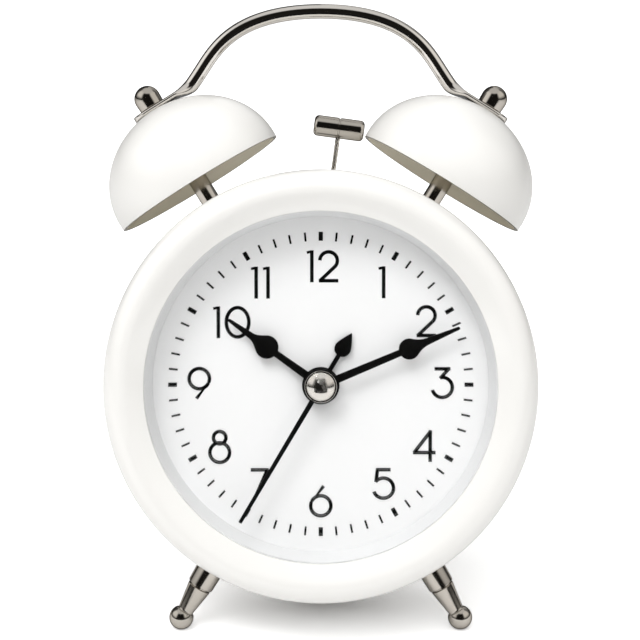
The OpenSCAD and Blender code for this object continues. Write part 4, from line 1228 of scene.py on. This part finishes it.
@dataclass
class Dial(SubAssembly):
    """The white dial with its minute marks and its plain numerals."""

    radius: float = 46.4
    thick: float = 0.6
    hole_r: float = 3.0
    mark_r: float = 38.2
    mark_len: float = 2.3
    hour_w: float = 1.1
    minute_w: float = 0.52
    ink: float = 0.04
    stroke: float = 0.92
    flag: float = 0.75
    flag_from: float = -1.3
    places: tuple[Point2, ...] = (
        (15.9, 26.4), (27.1, 16.4), (31.3, 0.4), (26.7, -15.9), (16.2, -25.8), (0.0, -30.3),
        (-15.9, -25.8), (-26.1, -16.1), (-31.3, 0.4), (-22.9, 16.1), (-15.3, 26.3), (0.4, 30.5),
    )
    digit_shifts: tuple[tuple[float, ...], ...] = (
        (0.25,), *((0.0,),) * 8, (-3.45, 1.5), (-1.3, 1.75), (-2.7, 1.55),
    )

    def build(self) -> None:
        """Builds the disc, the marks and the numerals."""
        profile = [
            (self.hole_r, 0.0),
            (self.radius, 0.0),
            (self.radius, self.thick),
            (self.hole_r, self.thick),
        ]
        self.keep(turned(profile, LATHE), "dial_disc", ABOUT_AXIS, "case", DIAL_WHITE, "dial_white", "dial")
        self.keep(self.marks(), "minute_marks", ON_DIAL, "case", DIAL_INK, "black_paint")
        self.keep(self.numerals(), "numerals", ON_DIAL, "case", DIAL_INK, "black_paint")

    def marks(self) -> bpy.types.Object:
        """Makes one hour mark and four minute marks and spins copies of them round the dial.

        Returns:
            The marks in edit mode.
        """
        obj = blank()
        middle = (0.0, 0.0, self.ink / 2.0)
        hour = math.tau / HOURS
        for k in range(MARKS_AN_HOUR):
            wide = self.hour_w if k == 0 else self.minute_w
            turn = hour * k / MARKS_AN_HOUR
            bpy.ops.mesh.primitive_cube_add(size=1.0, location=middle)
            bpy.ops.transform.resize(value=(wide, self.mark_len, self.ink), center_override=middle)
            bpy.ops.transform.translate(value=(0.0, self.mark_r, 0.0))
            bpy.ops.transform.rotate(value=turn, orient_axis="Z", center_override=ORIGIN)
        bpy.ops.mesh.select_all(action="SELECT")
        others = HOURS - 1
        bpy.ops.mesh.spin(steps=others, dupli=True, angle=hour * others, center=ORIGIN, axis=ALONG_Z)
        close_up()
        return obj

    def strokes(self, digit: int) -> list[list[Point2]]:
        """Lists the pen strokes of one digit about its middle.

        Args:
            digit: The digit.

        Returns:
            The centre line of each stroke, in millimetres.
        """
        round_stem = [(0.75, 4.0), (-2.32, 0.05)]
        lower = arc((0.0, -1.15), 2.62, 152.0, 152.0 + 360.0, 40)
        if digit == 0:
            return [arc((0.0, 0.0), 2.9, 0.0, 360.0, 48, 1.3)]
        if digit == 1:
            return [[(0.0, 4.1), (0.0, -4.1)], [(self.flag_from, 3.52), (-0.1, 3.78)]]
        if digit == 2:
            return [
                [*arc((0.05, 1.45), 2.25, 178.0, -38.0, 24), (-2.2, -3.75)],
                [(-2.45, -3.7), (2.55, -3.7)],
            ]
        if digit == 3:
            return [
                [(-2.0, 3.7), (2.1, 3.7)],
                [(1.85, 3.9), (-0.55, 1.2)],
                arc((0.0, -1.1), 2.6, 103.0, -165.0, 32),
            ]
        if digit == 4:
            return [
                [(1.55, 4.1), (1.55, -4.1)],
                [(-2.9, -1.7), (2.95, -1.7)],
                [(1.75, 3.95), (-2.62, -1.75)],
            ]
        if digit == 5:
            return [
                [(1.85, 3.75), (-1.75, 3.75)],
                [(-1.5, 4.1), (-1.95, 0.55)],
                arc((0.0, -1.05), 2.62, 141.0, -160.0, 34),
            ]
        if digit == 6:
            return [[*round_stem, *lower]]
        if digit == 7:
            return [[(-2.2, 3.7), (2.45, 3.7)], [(2.2, 3.95), (-1.35, -4.1)]]
        if digit == 8:
            return [arc((0.0, 2.35), 1.62, 0.0, 360.0, 32), arc((0.0, -1.5), 2.55, 0.0, 360.0, 40)]
        return [[(-x, -z) for x, z in [*round_stem, *lower]]]

    def numerals(self) -> bpy.types.Object:
        """Draws the twelve numbers with a flat pen and makes one mesh of them.

        Returns:
            The numerals.
        """
        pen = bpy.data.curves.new("pen", "CURVE")
        half = self.stroke / 2.0
        self.add_line(pen, [(-half, 0.0), (half, 0.0), (half, self.ink), (-half, self.ink)], True)
        nib = bpy.data.objects.new("pen", pen)
        bpy.context.scene.collection.objects.link(nib)
        sheet = bpy.data.curves.new("numerals", "CURVE")
        sheet.dimensions = "3D"
        sheet.twist_mode = "Z_UP"
        sheet.bevel_mode = "OBJECT"
        sheet.bevel_object = nib
        sheet.use_fill_caps = True
        for number, middle, shifts in zip(range(1, HOURS + 1), self.places, self.digit_shifts):
            for digit, shift in zip(str(number), shifts):
                for line in self.strokes(int(digit)):
                    ring = (Vector(line[0]) - Vector(line[-1])).length < NEAR
                    points = [(x + middle[0] + shift, z + middle[1]) for x, z in line]
                    wide = self.flag if line[0][0] == self.flag_from else 1.0
                    self.add_line(sheet, points[:-1] if ring else points, ring, wide)
        obj = bpy.data.objects.new("numerals", sheet)
        bpy.context.scene.collection.objects.link(obj)
        take(obj)
        bpy.ops.object.convert(target="MESH")
        bpy.data.objects.remove(nib)
        obj = bpy.context.object
        bpy.ops.object.mode_set(mode="EDIT")
        close_up()
        return obj

    @staticmethod
    def add_line(
        curve: bpy.types.Curve, points: Sequence[Point2], ring: bool, wide: float = 1.0
    ) -> None:
        """Adds one line of straight pieces to a curve.

        Args:
            curve: The curve.
            points: The line's points.
            ring: Whether it closes on itself.
            wide: Width as a share of the pen's.
        """
        line = curve.splines.new("POLY")
        line.points.add(len(points) - 1)
        for spot, (x, y) in zip(line.points, points):
            spot.co = (x, y, 0.0, 1.0)
            spot.radius = wide
        line.use_cyclic_u = ring


@dataclass(frozen=True)
class Hand:
    """Names and sizes of one hand.

    Attributes:
        name: Name of the piece.
        node: The solid that it stands for.
        body: The body that it moves with.
        turn: Its angle, clockwise from the top.
        y: Place of its front along the dial's axis.
        length: From the axis to the tip.
        hub_d: Diameter of the hub.
        hole: Radius of the bore in the hub.
        head_w: Width of the head, or of the needle at the hub.
        head_at: From the axis to the middle of a spade's round head.
        head_len: Length of a leaf's head.
    """

    name: str
    node: str
    body: str
    turn: float
    y: float
    length: float
    hub_d: float
    hole: float
    head_w: float
    head_at: float = 0.0
    head_len: float = 0.0


@dataclass
class Hands(SubAssembly):
    """The spade-shaped hands and the domed cap over them."""

    hour: Hand = Hand(
        "hour_spade", "hour_hand", "hours", turn=305.6, y=-2.8, length=29.1,
        hub_d=9.6, hole=1.35, head_w=6.0, head_at=16.99,
    )
    minute: Hand = Hand(
        "minute_spade", "minute_hand", "minutes", turn=67.2, y=-4.2, length=38.5,
        hub_d=8.8, hole=0.9, head_w=5.4, head_at=24.49,
    )
    second: Hand = Hand(
        "second_needle", "second_hand", "seconds", turn=210.6, y=-5.6, length=40.6,
        hub_d=7.2, hole=0.45, head_w=1.3,
    )
    alarm: Hand = Hand(
        "alarm_leaf", "alarm_hand", "alarm_pointer", turn=30.9, y=-1.4, length=15.5,
        hub_d=8.8, hole=1.8, head_w=4.3, head_len=6.6,
    )
    thick: float = 0.4
    edge: float = 0.1
    bore_len: float = 4.0
    stem_w: float = 2.05
    neck_share: float = 0.42
    flank: float = 35.0
    flank_share: float = 0.145
    waist_at: float = 0.31
    waist_share: float = 0.46
    spike_at: float = 0.41
    spike_w: float = 0.84
    spike_turns: Point2 = (8.0, 78.0)
    needle_share: float = 0.36
    needle_end: Point2 = (0.12, 0.15)
    alarm_stem: float = 1.15
    leaf_foot: Point2 = (0.48, 0.35)
    leaf_wide_at: float = 0.34
    leaf_flank: Point2 = (0.47, 0.5)
    leaf_tip: float = 0.12
    cap_y: float = -5.6
    cap_r: float = 4.1
    cap_rim: float = 0.5
    cap_edge: float = 0.1
    cap_ball: float = 3.7
    cap_step: float = 0.08
    cap_h: float = 1.9

    def build(self) -> None:
        """Builds the four hands and the cap."""
        self.lay(self.hour, self.spade(self.hour))
        self.lay(self.minute, self.spade(self.minute))
        self.lay(self.second, self.needle(self.second))
        self.lay(self.alarm, self.leaf(self.alarm))
        cap = turned(self.cap_profile(), SMALL_LATHE)
        self.keep(cap, "domed_cap", ABOUT_AXIS, "seconds", NICKEL, "chrome", "centre_cap")

    def cap_profile(self) -> list[Point2]:
        """Lists the outline of the cap: a low rim and a dome."""
        edge = self.cap_edge
        rim = self.cap_y - self.cap_rim
        rise = self.cap_h - self.cap_rim + edge
        ball = (self.cap_ball ** 2 + rise ** 2) / 2.0 / rise
        spread = math.degrees(math.asin(self.cap_ball / ball))
        return [
            (0.0, self.cap_y),
            (self.cap_r - edge, self.cap_y),
            (self.cap_r, self.cap_y - edge),
            (self.cap_r, rim + edge),
            (self.cap_r - edge, rim),
            (self.cap_ball + self.cap_step, rim),
            *arc((0.0, self.cap_y - self.cap_h + ball), ball, -90.0 + spread, -90.0, 18),
        ]

    def lay(self, hand: Hand, outline: Sequence[Point2]) -> None:
        """Cuts one hand from plate, bores its hub and turns it to its hour.

        Args:
            hand: The hand.
            outline: Right half of its outline, from the foot of the hub to the tip.
        """
        left = [(-x, z) for x, z in reversed(outline) if x > NEAR]
        obj = cut_plate([*outline, *left], self.thick, self.edge)
        bore(obj, round_bar(hand.hole, self.bore_len, ABOUT_AXIS))
        place = spoke(hand.turn, hand.y)
        self.keep(obj, hand.name, place, hand.body, HAND_BLACK, "black_paint", hand.node)

    @staticmethod
    def hub(hub_d: float, half_stem: float) -> list[Point2]:
        """Lists the right half of a hub, from its foot to the stem.

        Args:
            hub_d: Diameter of the hub.
            half_stem: Half the stem's width.

        Returns:
            The points.
        """
        top = math.degrees(math.acos(half_stem / (hub_d / 2.0)))
        return arc((0.0, 0.0), hub_d / 2.0, -90.0, top, 28)

    def spade(self, hand: Hand) -> list[Point2]:
        """Lists the right half of a spade hand.

        Args:
            hand: The hand.

        Returns:
            The points, from the foot of the hub to the tip.
        """
        radius = hand.head_w / 2.0
        reach = hand.length - hand.head_at
        neck = self.stem_w * self.neck_share
        low = -math.degrees(math.acos(neck / radius))
        disc = arc((0.0, hand.head_at), radius, low, self.flank, 20)
        turn = math.radians(self.flank)
        lead = Vector(disc[-1]) + Vector((-math.sin(turn), math.cos(turn))) * reach * self.flank_share
        waist = (self.stem_w * self.waist_share, hand.head_at + reach * self.waist_at)
        spike = (neck, hand.head_at + reach * self.spike_at)
        blunt = self.spike_w / 2.0
        return [
            *self.hub(hand.hub_d, self.stem_w / 2.0),
            *disc,
            *bend((disc[-1], tuple(lead), waist, spike), 14)[1:],
            *arc((0.0, hand.length - blunt), blunt, *self.spike_turns, 6),
        ]

    def needle(self, hand: Hand) -> list[Point2]:
        """Lists the right half of the second hand.

        Args:
            hand: The hand.

        Returns:
            The points, from the foot of the hub to the tip.
        """
        tip = hand.head_w * self.needle_share
        inward, back = self.needle_end
        return [
            *self.hub(hand.hub_d, hand.head_w / 2.0),
            (tip, hand.length - back),
            (tip - inward, hand.length),
        ]

    def leaf(self, hand: Hand) -> list[Point2]:
        """Lists the right half of the alarm hand.

        Args:
            hand: The hand.

        Returns:
            The points, from the foot of the hub to the tip.
        """
        stem = self.alarm_stem / 2.0
        neck = hand.length - hand.head_len
        wide = (hand.head_w / 2.0, neck + hand.head_len * self.leaf_wide_at)
        foot = (hand.head_w * self.leaf_foot[0], neck + self.leaf_foot[1])
        flank = (hand.head_w * self.leaf_flank[0], neck + hand.head_len * self.leaf_flank[1])
        return [
            *self.hub(hand.hub_d, stem),
            *bend(((stem, neck), foot, wide), 7),
            *bend((wide, flank, (self.leaf_tip, hand.length)), 10)[1:],
        ]


@dataclass
class Hammer(SubAssembly):
    """The hammer's head and its twisted wire."""

    pivot: Point3 = (0.0, 22.0, 30.8)
    rest: float = 7.7
    reach: float = 36.83
    head_r: float = 2.8
    head_len: float = 13.6
    head_round: float = 1.2
    groove_w: float = 0.5
    groove: float = 0.25
    groove_edge: float = 0.08
    wire_low: float = 1.6
    wire_seat: float = 1.4
    strands: int = 5
    strand_r: float = 0.26
    strand_off: float = 0.4
    strand_sides: int = 10
    twists: float = 4.6
    steps: int = 90

    def build(self) -> None:
        """Builds the head and the wire."""
        place = Matrix.Translation(self.pivot) @ Matrix.Rotation(math.radians(self.rest), 4, "Y")
        top = place @ Matrix.Translation((0.0, 0.0, self.reach))
        across = top @ Matrix.Rotation(math.radians(90.0), 4, "Y")
        head = turned(self.head_profile(), SMALL_LATHE)
        self.keep(head, "striking_head", across, "hammer", NICKEL_PAINTED_DARKER, "chrome", "hammer_head")
        self.keep(self.wire(), "twisted_wire", place, "hammer", NICKEL, "chrome", "hammer_rod")

    def head_profile(self) -> list[Point2]:
        """Lists the outline of the head: round ends and a fine groove at the middle."""
        half = self.head_len / 2.0
        mid = half - self.head_round
        flat = self.head_r - self.head_round
        low = self.groove_w / 2.0
        deep = self.head_r - self.groove
        return [
            (0.0, -half),
            *arc((flat, -mid), self.head_round, -90.0, 0.0, 8),
            (self.head_r, -low),
            (deep, -low + self.groove_edge),
            (deep, low - self.groove_edge),
            (self.head_r, low),
            *arc((flat, mid), self.head_round, 0.0, 90.0, 8),
            (0.0, half),
        ]

    def wire(self) -> bpy.types.Object:
        """Draws the strands upward step by step, turning them a little at each.

        Returns:
            The wire in edit mode.
        """
        obj = blank()
        for k in range(self.strands):
            angle = math.tau * k / self.strands
            spot = (self.strand_off * math.cos(angle), self.strand_off * math.sin(angle), self.wire_low)
            bpy.ops.mesh.primitive_circle_add(
                vertices=self.strand_sides, radius=self.strand_r, fill_type="NGON", location=spot
            )
        bpy.ops.mesh.select_all(action="SELECT")
        rise = (self.reach - self.wire_seat - self.wire_low) / self.steps
        turn = math.tau * self.twists / self.steps
        for _ in range(self.steps):
            bpy.ops.mesh.extrude_region_move(TRANSFORM_OT_translate={"value": (0.0, 0.0, rise)})
            bpy.ops.transform.rotate(value=turn, orient_axis="Z", center_override=ORIGIN)
        close_up()
        return obj


@dataclass
class Back(SubAssembly):
    """Knobs, turning arrows, screws and switch on the back."""

    knobs: tuple[tuple[str, str, float], ...] = (
        ("time_knob", "time_setting", -10.0),
        ("alarm_knob", "alarm_setting", 12.0),
    )
    knob_r: float = 6.5
    knob_from: float = 48.7
    knob_to: float = 55.7
    knob_edge: float = 0.4
    knob_round: float = 0.7
    neck_r: float = 5.2
    neck_h: float = 1.2
    neck_edge: float = 0.3
    flutes: int = 24
    flute: float = 0.5
    flute_share: float = 0.13
    flute_r: float = 5.75
    flute_low: float = 0.1
    dish_r: float = 3.25
    dish: float = 0.6
    dish_edge: Point3 = (0.3, 0.2, 0.4)
    cover_y: float = 48.1
    screw_at: float = 46.5
    screw_r: float = 1.2
    screw_len: float = 10.0
    head_r: float = 2.4
    head_h: float = 1.2
    head_edge: float = 0.3
    cross: Point3 = (2.9, 0.6, 1.5)
    switch_x: float = 32.0
    switch_y: float = 48.3
    switch_w: float = 4.4
    switch_len: float = 7.0
    switch_h: float = 2.4
    ridges: int = 4
    ridge: float = 0.55
    ridge_shares: Point3 = (0.3, 0.6, 0.9)
    switch_end: float = 0.6
    switch_edge: float = 0.4
    switch_bevel: float = 0.18
    switch_foot: Point3 = (1.0, 6.0, 8.0)
    switch_foot_at: float = -2.9
    switch_stem: Point3 = (3.9, 2.4, 4.0)
    switch_stem_at: float = -1.45
    arrow_r: float = 9.4
    arrow_w: float = 0.8
    arrow_tip: float = 1.3
    arrow_t: float = 0.05
    arrow_from: float = 58.0
    arrow_neck: float = 122.0
    arrow_end: float = 135.0

    def build(self) -> None:
        """Builds the knobs and what lies round them."""
        self.keep(self.screws(), "cross_screws", ABOUT_AXIS, "case", STEEL, "steel", "cover_screws")
        beside = Matrix.Translation((self.switch_x + self.switch_w / 2.0, self.switch_y, 0.0))
        place = beside @ Matrix.Rotation(math.radians(90.0), 4, "Z")
        cap = self.switch()
        self.keep(cap, "ridged_switch", place, "switch", COVER_PLASTIC, "cover_plastic", "alarm_switch")
        for node, _, x in self.knobs:
            place = Matrix.Translation((x, self.cover_y, 0.0))
            self.keep(self.arrow(), f"{node}_arrow", place, "case", DIAL_INK, "black_paint")
        for node, body, x in self.knobs:
            place = Matrix.Translation((x, 0.0, 0.0)) @ ABOUT_AXIS
            self.keep(self.knob(), f"fluted_{node}", place, body, KNOB_PLASTIC, "knob_plastic", node)

    def knob(self) -> bpy.types.Object:
        """Turns a knob and draws every fourth of its upright edges inward.

        Returns:
            The knob in edit mode.
        """
        low = self.knob_from + self.neck_h
        edge = self.knob_edge
        top = self.knob_to - self.knob_round
        rim, drop, slope = self.dish_edge
        profile = [
            (0.0, self.knob_from),
            (self.neck_r, self.knob_from),
            (self.neck_r, low - self.neck_edge),
            (self.knob_r - edge, low),
            (self.knob_r, low + edge),
            (self.knob_r, top),
            *arc((self.knob_r - self.knob_round, top), self.knob_round, 15.0, 90.0, 5),
            (self.dish_r + rim, self.knob_to),
            (self.dish_r, self.knob_to - drop),
            (self.dish_r - slope, self.knob_to - self.dish),
            (0.0, self.knob_to - self.dish),
        ]
        obj = turned(profile, self.flutes * 4)
        step = math.tau / self.flutes

        def furrow(co: Vector) -> bool:
            """Says whether a vertex lies in a furrow of the grip."""
            share = (math.atan2(co.y, co.x) / step) % 1.0
            on_line = min(share, 1.0 - share) < self.flute_share
            return on_line and math.hypot(co.x, co.y) > self.flute_r and co.z > low - self.flute_low

        pick(obj, furrow)
        shrink = 1.0 - self.flute / self.knob_r
        bpy.ops.transform.resize(value=(shrink, shrink, 1.0), center_override=ORIGIN)
        return obj

    def screws(self) -> bpy.types.Object:
        """Turns a screw with a rounded head, cuts a cross in it and sets three of it round the cover.

        Returns:
            The screws in edit mode.
        """
        top = self.cover_y + self.head_h
        end = self.cover_y - self.screw_len
        rim = self.cover_y + self.head_edge
        profile = [
            (0.0, end),
            (self.screw_r / 2.0, end),
            (self.screw_r, end + self.screw_r),
            (self.screw_r, self.cover_y),
            (self.head_r, self.cover_y),
            *bend(((self.head_r, rim), (self.head_r, top), (self.head_r / 2.0, top)), 8),
            (0.0, top),
        ]
        screw = turned(profile, SCREW_LATHE)
        length, width, deep = self.cross
        for wide, high in ((length, width), (width, length)):
            idle()
            bpy.ops.mesh.primitive_cube_add(size=1.0, location=(0.0, 0.0, top))
            cutter = bpy.context.object
            cutter.scale = (wide, high, deep)
            bpy.ops.object.transform_apply(location=True, rotation=True, scale=True)
            bore(screw, cutter)
        bpy.ops.object.mode_set(mode="EDIT")
        bpy.ops.mesh.select_all(action="SELECT")
        bpy.ops.transform.translate(value=(0.0, self.screw_at, 0.0))
        bpy.ops.mesh.spin(steps=2, dupli=True, angle=math.tau * 2 / 3, center=ORIGIN, axis=ALONG_Z)
        return screw

    def switch(self) -> bpy.types.Object:
        """Cuts the switch's cap with its ridges, bevels both sides and adds stem and foot.

        Returns:
            The switch in edit mode, with its height along x.
        """
        half = self.switch_len / 2.0
        pitch = (self.switch_len - 2.0 * self.switch_end) / self.ridges
        high = self.switch_h
        low = high - self.ridge
        end = half - self.switch_edge
        down, flat, up = self.ridge_shares
        outline = [(0.0, half), (0.0, -half), (low, -half), (high, -end)]
        for k in range(self.ridges):
            start = self.switch_end - half + k * pitch
            outline += [
                (high, start),
                (low, start + pitch * down),
                (low, start + pitch * flat),
                (high, start + pitch * up),
            ]
        outline += [(high, end), (low, half)]
        cap = cut_plate(outline, self.switch_w)
        pick_edges(cap, lambda a, b: abs(a.y - b.y) < NEAR)
        bpy.ops.mesh.bevel(offset=self.switch_bevel, segments=2, affect="EDGES")
        for x, size in ((self.switch_foot_at, self.switch_foot), (self.switch_stem_at, self.switch_stem)):
            spot = (x, self.switch_w / 2.0, 0.0)
            bpy.ops.mesh.primitive_cube_add(size=1.0, location=spot)
            bpy.ops.transform.resize(value=size, center_override=spot)
        return cap

    def arrow(self) -> bpy.types.Object:
        """Cuts a bowed arrow that shows which way a knob turns.

        Returns:
            The arrow in edit mode.
        """
        half = self.arrow_w / 2.0
        middle = (0.0, 0.0)
        neck = math.radians(self.arrow_neck)
        tip = math.radians(self.arrow_end)
        wide = self.arrow_r + self.arrow_tip
        slim = self.arrow_r - self.arrow_tip
        outline = [
            *arc(middle, self.arrow_r + half, self.arrow_from, self.arrow_neck, 18),
            (wide * math.cos(neck), wide * math.sin(neck)),
            (self.arrow_r * math.cos(tip), self.arrow_r * math.sin(tip)),
            (slim * math.cos(neck), slim * math.sin(neck)),
            *arc(middle, self.arrow_r - half, self.arrow_neck, self.arrow_from, 18),
        ]
        return cut_plate(outline, self.arrow_t)


@dataclass
class Works(SubAssembly):
    """The solids that are shown as they are: cover, movement, striker, door and cell."""

    finishes: tuple[tuple[Finish, tuple[str, ...]], ...] = (
        (COVER_PLASTIC, ("back_cover", "battery_door")),
        (KNOB_PLASTIC, ("movement_housing", "movement_plate")),
        (STEEL, (
            "case_pillars", "post_nuts", "foot_nuts", "movement_screws", "pivot_pin",
            "striker_bracket", "striker_core", "positive_contact", "negative_spring", "quartz_crystal",
            "stepper_stator", "hammer_lever", "armature",
        )),
        (NYLON, (
            "fifth_wheel", "seconds_wheel", "third_wheel", "motion_wheel", "hour_wheel", "alarm_wheel",
            "time_set_arbor", "alarm_set_arbor",
        )),
        (BRASS, ("centre_wheel", "cannon_pinion")),
        (MAGNET, ("stepper_rotor",)),
        (COPPER_X, ("stepper_coil",)),
        (COPPER_Z, ("striker_coil",)),
        (BOARD, ("circuit_board",)),
        (CELL_JACKET, ("battery_cell",)),
    )

    def build(self) -> None:
        """Gives each solid its finish."""
        for finish, nodes in self.finishes:
            for node in nodes:
                self.dress(frame["nodes"][node], finish)

    @staticmethod
    def dress(obj: bpy.types.Object, finish: Finish) -> None:
        """Puts a finish in a solid's material slots.

        Args:
            obj: The solid.
            finish: The finish.
        """
        made = finish.material()
        if not obj.data.materials:
            obj.data.materials.append(made)
        for k in range(len(obj.data.materials)):
            obj.data.materials[k] = made
        LOG.info("%s: %s", obj.name, finish.name)


@dataclass
class Studio:
    """Floor, light and camera, with one ring of wall colours for soft light and one for mirror light."""

    floor: float = 16.0
    tilt: float = 3.0
    aim: Point3 = (-0.2, -4.0, 16.9)
    distance: float = 400.0
    lens: float = 88.36
    sensor: float = 36.0
    clip: Point2 = (0.01, 100.0)
    sky: float = 1.0
    soft_ring: tuple[tuple[float, Colour], ...] = (
        (-180.0, (0.34, 0.34, 0.33)), (-122.0, (0.34, 0.34, 0.33)), (-104.0, (0.95, 0.94, 0.92)),
        (-56.0, (0.95, 0.94, 0.92)), (-38.0, (0.05, 0.05, 0.05)), (28.0, (0.05, 0.05, 0.05)),
        (46.0, (0.38, 0.37, 0.35)), (100.0, (0.38, 0.37, 0.35)), (118.0, (0.34, 0.34, 0.33)),
        (180.0, (1.0, 1.0, 1.0)),
    )
    ring: tuple[tuple[float, Colour], ...] = (
        (-180.0, (0.08, 0.08, 0.08)), (-122.0, (0.08, 0.08, 0.08)), (-104.0, (1.1, 1.085, 1.06)),
        (-56.0, (1.1, 1.085, 1.06)), (-38.0, (0.012, 0.011, 0.01)), (28.0, (0.012, 0.011, 0.01)),
        (46.0, (0.95, 0.93, 0.89)), (100.0, (0.95, 0.93, 0.89)), (118.0, (0.08, 0.08, 0.08)),
        (180.0, (1.0, 1.0, 1.0)),
    )
    backdrop: Colour = (1.0, 1.0, 1.0)
    above: Colour = (0.8, 0.795, 0.785)
    horizon: Colour = (0.015, 0.014, 0.012)
    horizon_from: float = 4.0
    horizon_to: float = 24.0
    card_from: float = -0.16
    card_to: float = -7.9
    card_near: float = 0.1
    card_far: float = 6.0
    card_lift: float = 0.0005
    above_from: float = 50.0
    above_full: float = 62.0
    lamps: tuple[tuple[str, Point3, float, float], ...] = (
        ("key_light", (-0.42, -0.62, 1.12), 0.5, 7.2),
        ("front_fill", (0.06, -0.88, 0.95), 0.9, 5.6),
        ("low_fill", (0.35, -0.95, 0.14), 0.5, 1.1),
        ("top_light", (0.05, 0.0, 1.5), 1.2, 4.4),
    )
    lamp_aim: Point3 = (0.0, 0.0, 0.07)

    def build(self) -> None:
        """Sets up the whole studio."""
        self.lay_floor()
        self.lay_card()
        self.paint_sky()
        self.light()
        self.stand_camera()

    def lay_floor(self) -> None:
        """Lays the pale floor."""
        idle()
        bpy.ops.mesh.primitive_plane_add(size=self.floor)
        floor = bpy.context.object
        floor.name = "studio_floor"
        floor.data.materials.append(FLOOR.material())

    def lay_card(self) -> None:
        """Lays the dark card ahead of the clock that only its bright metal sees."""
        idle()
        bpy.ops.mesh.primitive_plane_add(size=2.0)
        card = bpy.context.object
        card.name = "studio_card"
        bpy.ops.object.mode_set(mode="EDIT")
        for way, half, y in ((1.0, self.card_near, self.card_from), (-1.0, self.card_far, self.card_to)):
            pick(card, lambda co: co.y == way)
            bpy.ops.transform.resize(value=(half, 1.0, 1.0), center_override=ORIGIN)
            bpy.ops.transform.translate(value=(0.0, y - way, self.card_lift))
        idle()
        card.data.materials.append(CARD.material())
        card.visible_camera = False
        card.visible_diffuse = False
        card.visible_shadow = False

    def paint_sky(self) -> None:
        """Paints the walls: lit panels at both sides, dark ahead, pale above and white for the camera."""
        world = bpy.data.worlds.new("studio_walls")
        bpy.context.scene.world = world
        world.use_nodes = True
        tree = world.node_tree
        way = tree.nodes.new("ShaderNodeTexCoord").outputs["Generated"]
        parts = add_node(tree, "SeparateXYZ", {"Vector": way}).outputs
        ahead = add_node(tree, "Math", {0: parts["Y"], 1: -1.0}, operation="MULTIPLY").outputs["Value"]
        turn = add_node(tree, "Math", {0: parts["X"], 1: ahead}, operation="ARCTAN2").outputs["Value"]
        share = add_range(tree, turn, (-math.pi, math.pi))
        path = tree.nodes.new("ShaderNodeLightPath").outputs
        soft, bright = [self.add_walls(tree, share, ring) for ring in (self.soft_ring, self.ring)]
        walls = self.add_mix(tree, path["Is Glossy Ray"], soft, bright)
        height = self.add_height(tree, parts["Z"], self.above_from, self.above_full)
        roofed = self.add_mix(tree, height, walls, (*self.above, 1.0))
        height = self.add_height(tree, parts["Z"], self.horizon_from, self.horizon_to)
        whole = self.add_mix(tree, height, (*self.horizon, 1.0), roofed)
        seen = self.add_mix(tree, path["Is Camera Ray"], whole, (*self.backdrop, 1.0))
        feed(tree, tree.nodes["Background"], {"Color": seen, "Strength": self.sky})

    @staticmethod
    def add_walls(
        tree: bpy.types.NodeTree, share: bpy.types.NodeSocket, ring: Sequence[tuple[float, Colour]]
    ) -> bpy.types.NodeSocket:
        """Adds the colours of the walls all round.

        Args:
            tree: The nodes.
            share: Share of the way round, from behind by the left.
            ring: Angle and colour of each stop.

        Returns:
            The colour.
        """
        return add_ramp(tree, share, [((angle + 180.0) / 360.0, colour) for angle, colour in ring])

    @staticmethod
    def add_height(
        tree: bpy.types.NodeTree, rise: bpy.types.NodeSocket, low: float, high: float
    ) -> bpy.types.NodeSocket:
        """Adds a step that grows from 0 to 1 between two heights over the horizon.

        Args:
            tree: The nodes.
            rise: The upward part of the view's way.
            low: Height where it starts, in degrees.
            high: Height where it ends, in degrees.

        Returns:
            The result.
        """
        return add_range(tree, rise, (math.sin(math.radians(low)), math.sin(math.radians(high))))

    @staticmethod
    def add_mix(
        tree: bpy.types.NodeTree, share: bpy.types.NodeSocket, first: object, second: object
    ) -> bpy.types.NodeSocket:
        """Adds a mix of two colours.

        Args:
            tree: The nodes.
            share: Share of the second colour.
            first: A colour, or the socket that gives it.
            second: A colour, or the socket that gives it.

        Returns:
            The mixed colour.
        """
        return add_node(tree, "Mix", {0: share, 6: first, 7: second}, data_type="RGBA").outputs[2]

    def light(self) -> None:
        """Lights the clock: a soft key from the upper left, two fills from ahead and a light above."""
        for lamp in self.lamps:
            self.hang(*lamp)
        bpy.context.scene.view_settings.view_transform = "Standard"

    def hang(self, name: str, spot: Point3, size: float, power: float) -> None:
        """Hangs a square lamp that faces the clock.

        Args:
            name: The lamp's name.
            spot: Its place.
            size: Its side.
            power: Its power in watts.
        """
        idle()
        bpy.ops.object.light_add(type="AREA", location=spot)
        lamp = bpy.context.object
        lamp.name = name
        lamp.data.energy = power
        lamp.data.size = size
        lamp.visible_glossy = False
        way = Vector(self.lamp_aim) - Vector(spot)
        lamp.rotation_euler = way.to_track_quat("-Z", "Y").to_euler()

    def stand_camera(self) -> None:
        """Stands the camera where the photograph was taken from."""
        idle()
        tilt = math.radians(self.tilt)
        ahead = Vector((0.0, math.cos(tilt), -math.sin(tilt)))
        spot = Vector(self.aim) - ahead * self.distance
        turn = CLOCK.to_3x3().normalized()
        right = turn @ Vector((1.0, 0.0, 0.0))
        back = turn @ -ahead
        place = Matrix((right, back.cross(right), back)).transposed().to_4x4()
        place.translation = CLOCK @ spot
        bpy.ops.object.camera_add()
        camera = bpy.context.object
        camera.matrix_world = place
        camera.data.lens = self.lens
        camera.data.sensor_width = self.sensor
        camera.data.clip_start, camera.data.clip_end = self.clip
        bpy.context.scene.camera = camera


def main() -> None:
    """Builds the clock and the studio, and reports each piece."""
    logging.basicConfig(level=logging.INFO, format="%(message)s")
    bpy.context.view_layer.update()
    for part in (Case(), Bells(), Handle(), Feet(), Dial(), Hands(), Hammer(), Back(), Works()):
        part.build()
        LOG.info("%s built, %d new pieces", type(part).__name__, len(part.pieces))
    Studio().build()


if __name__ == "__main__":
    main()
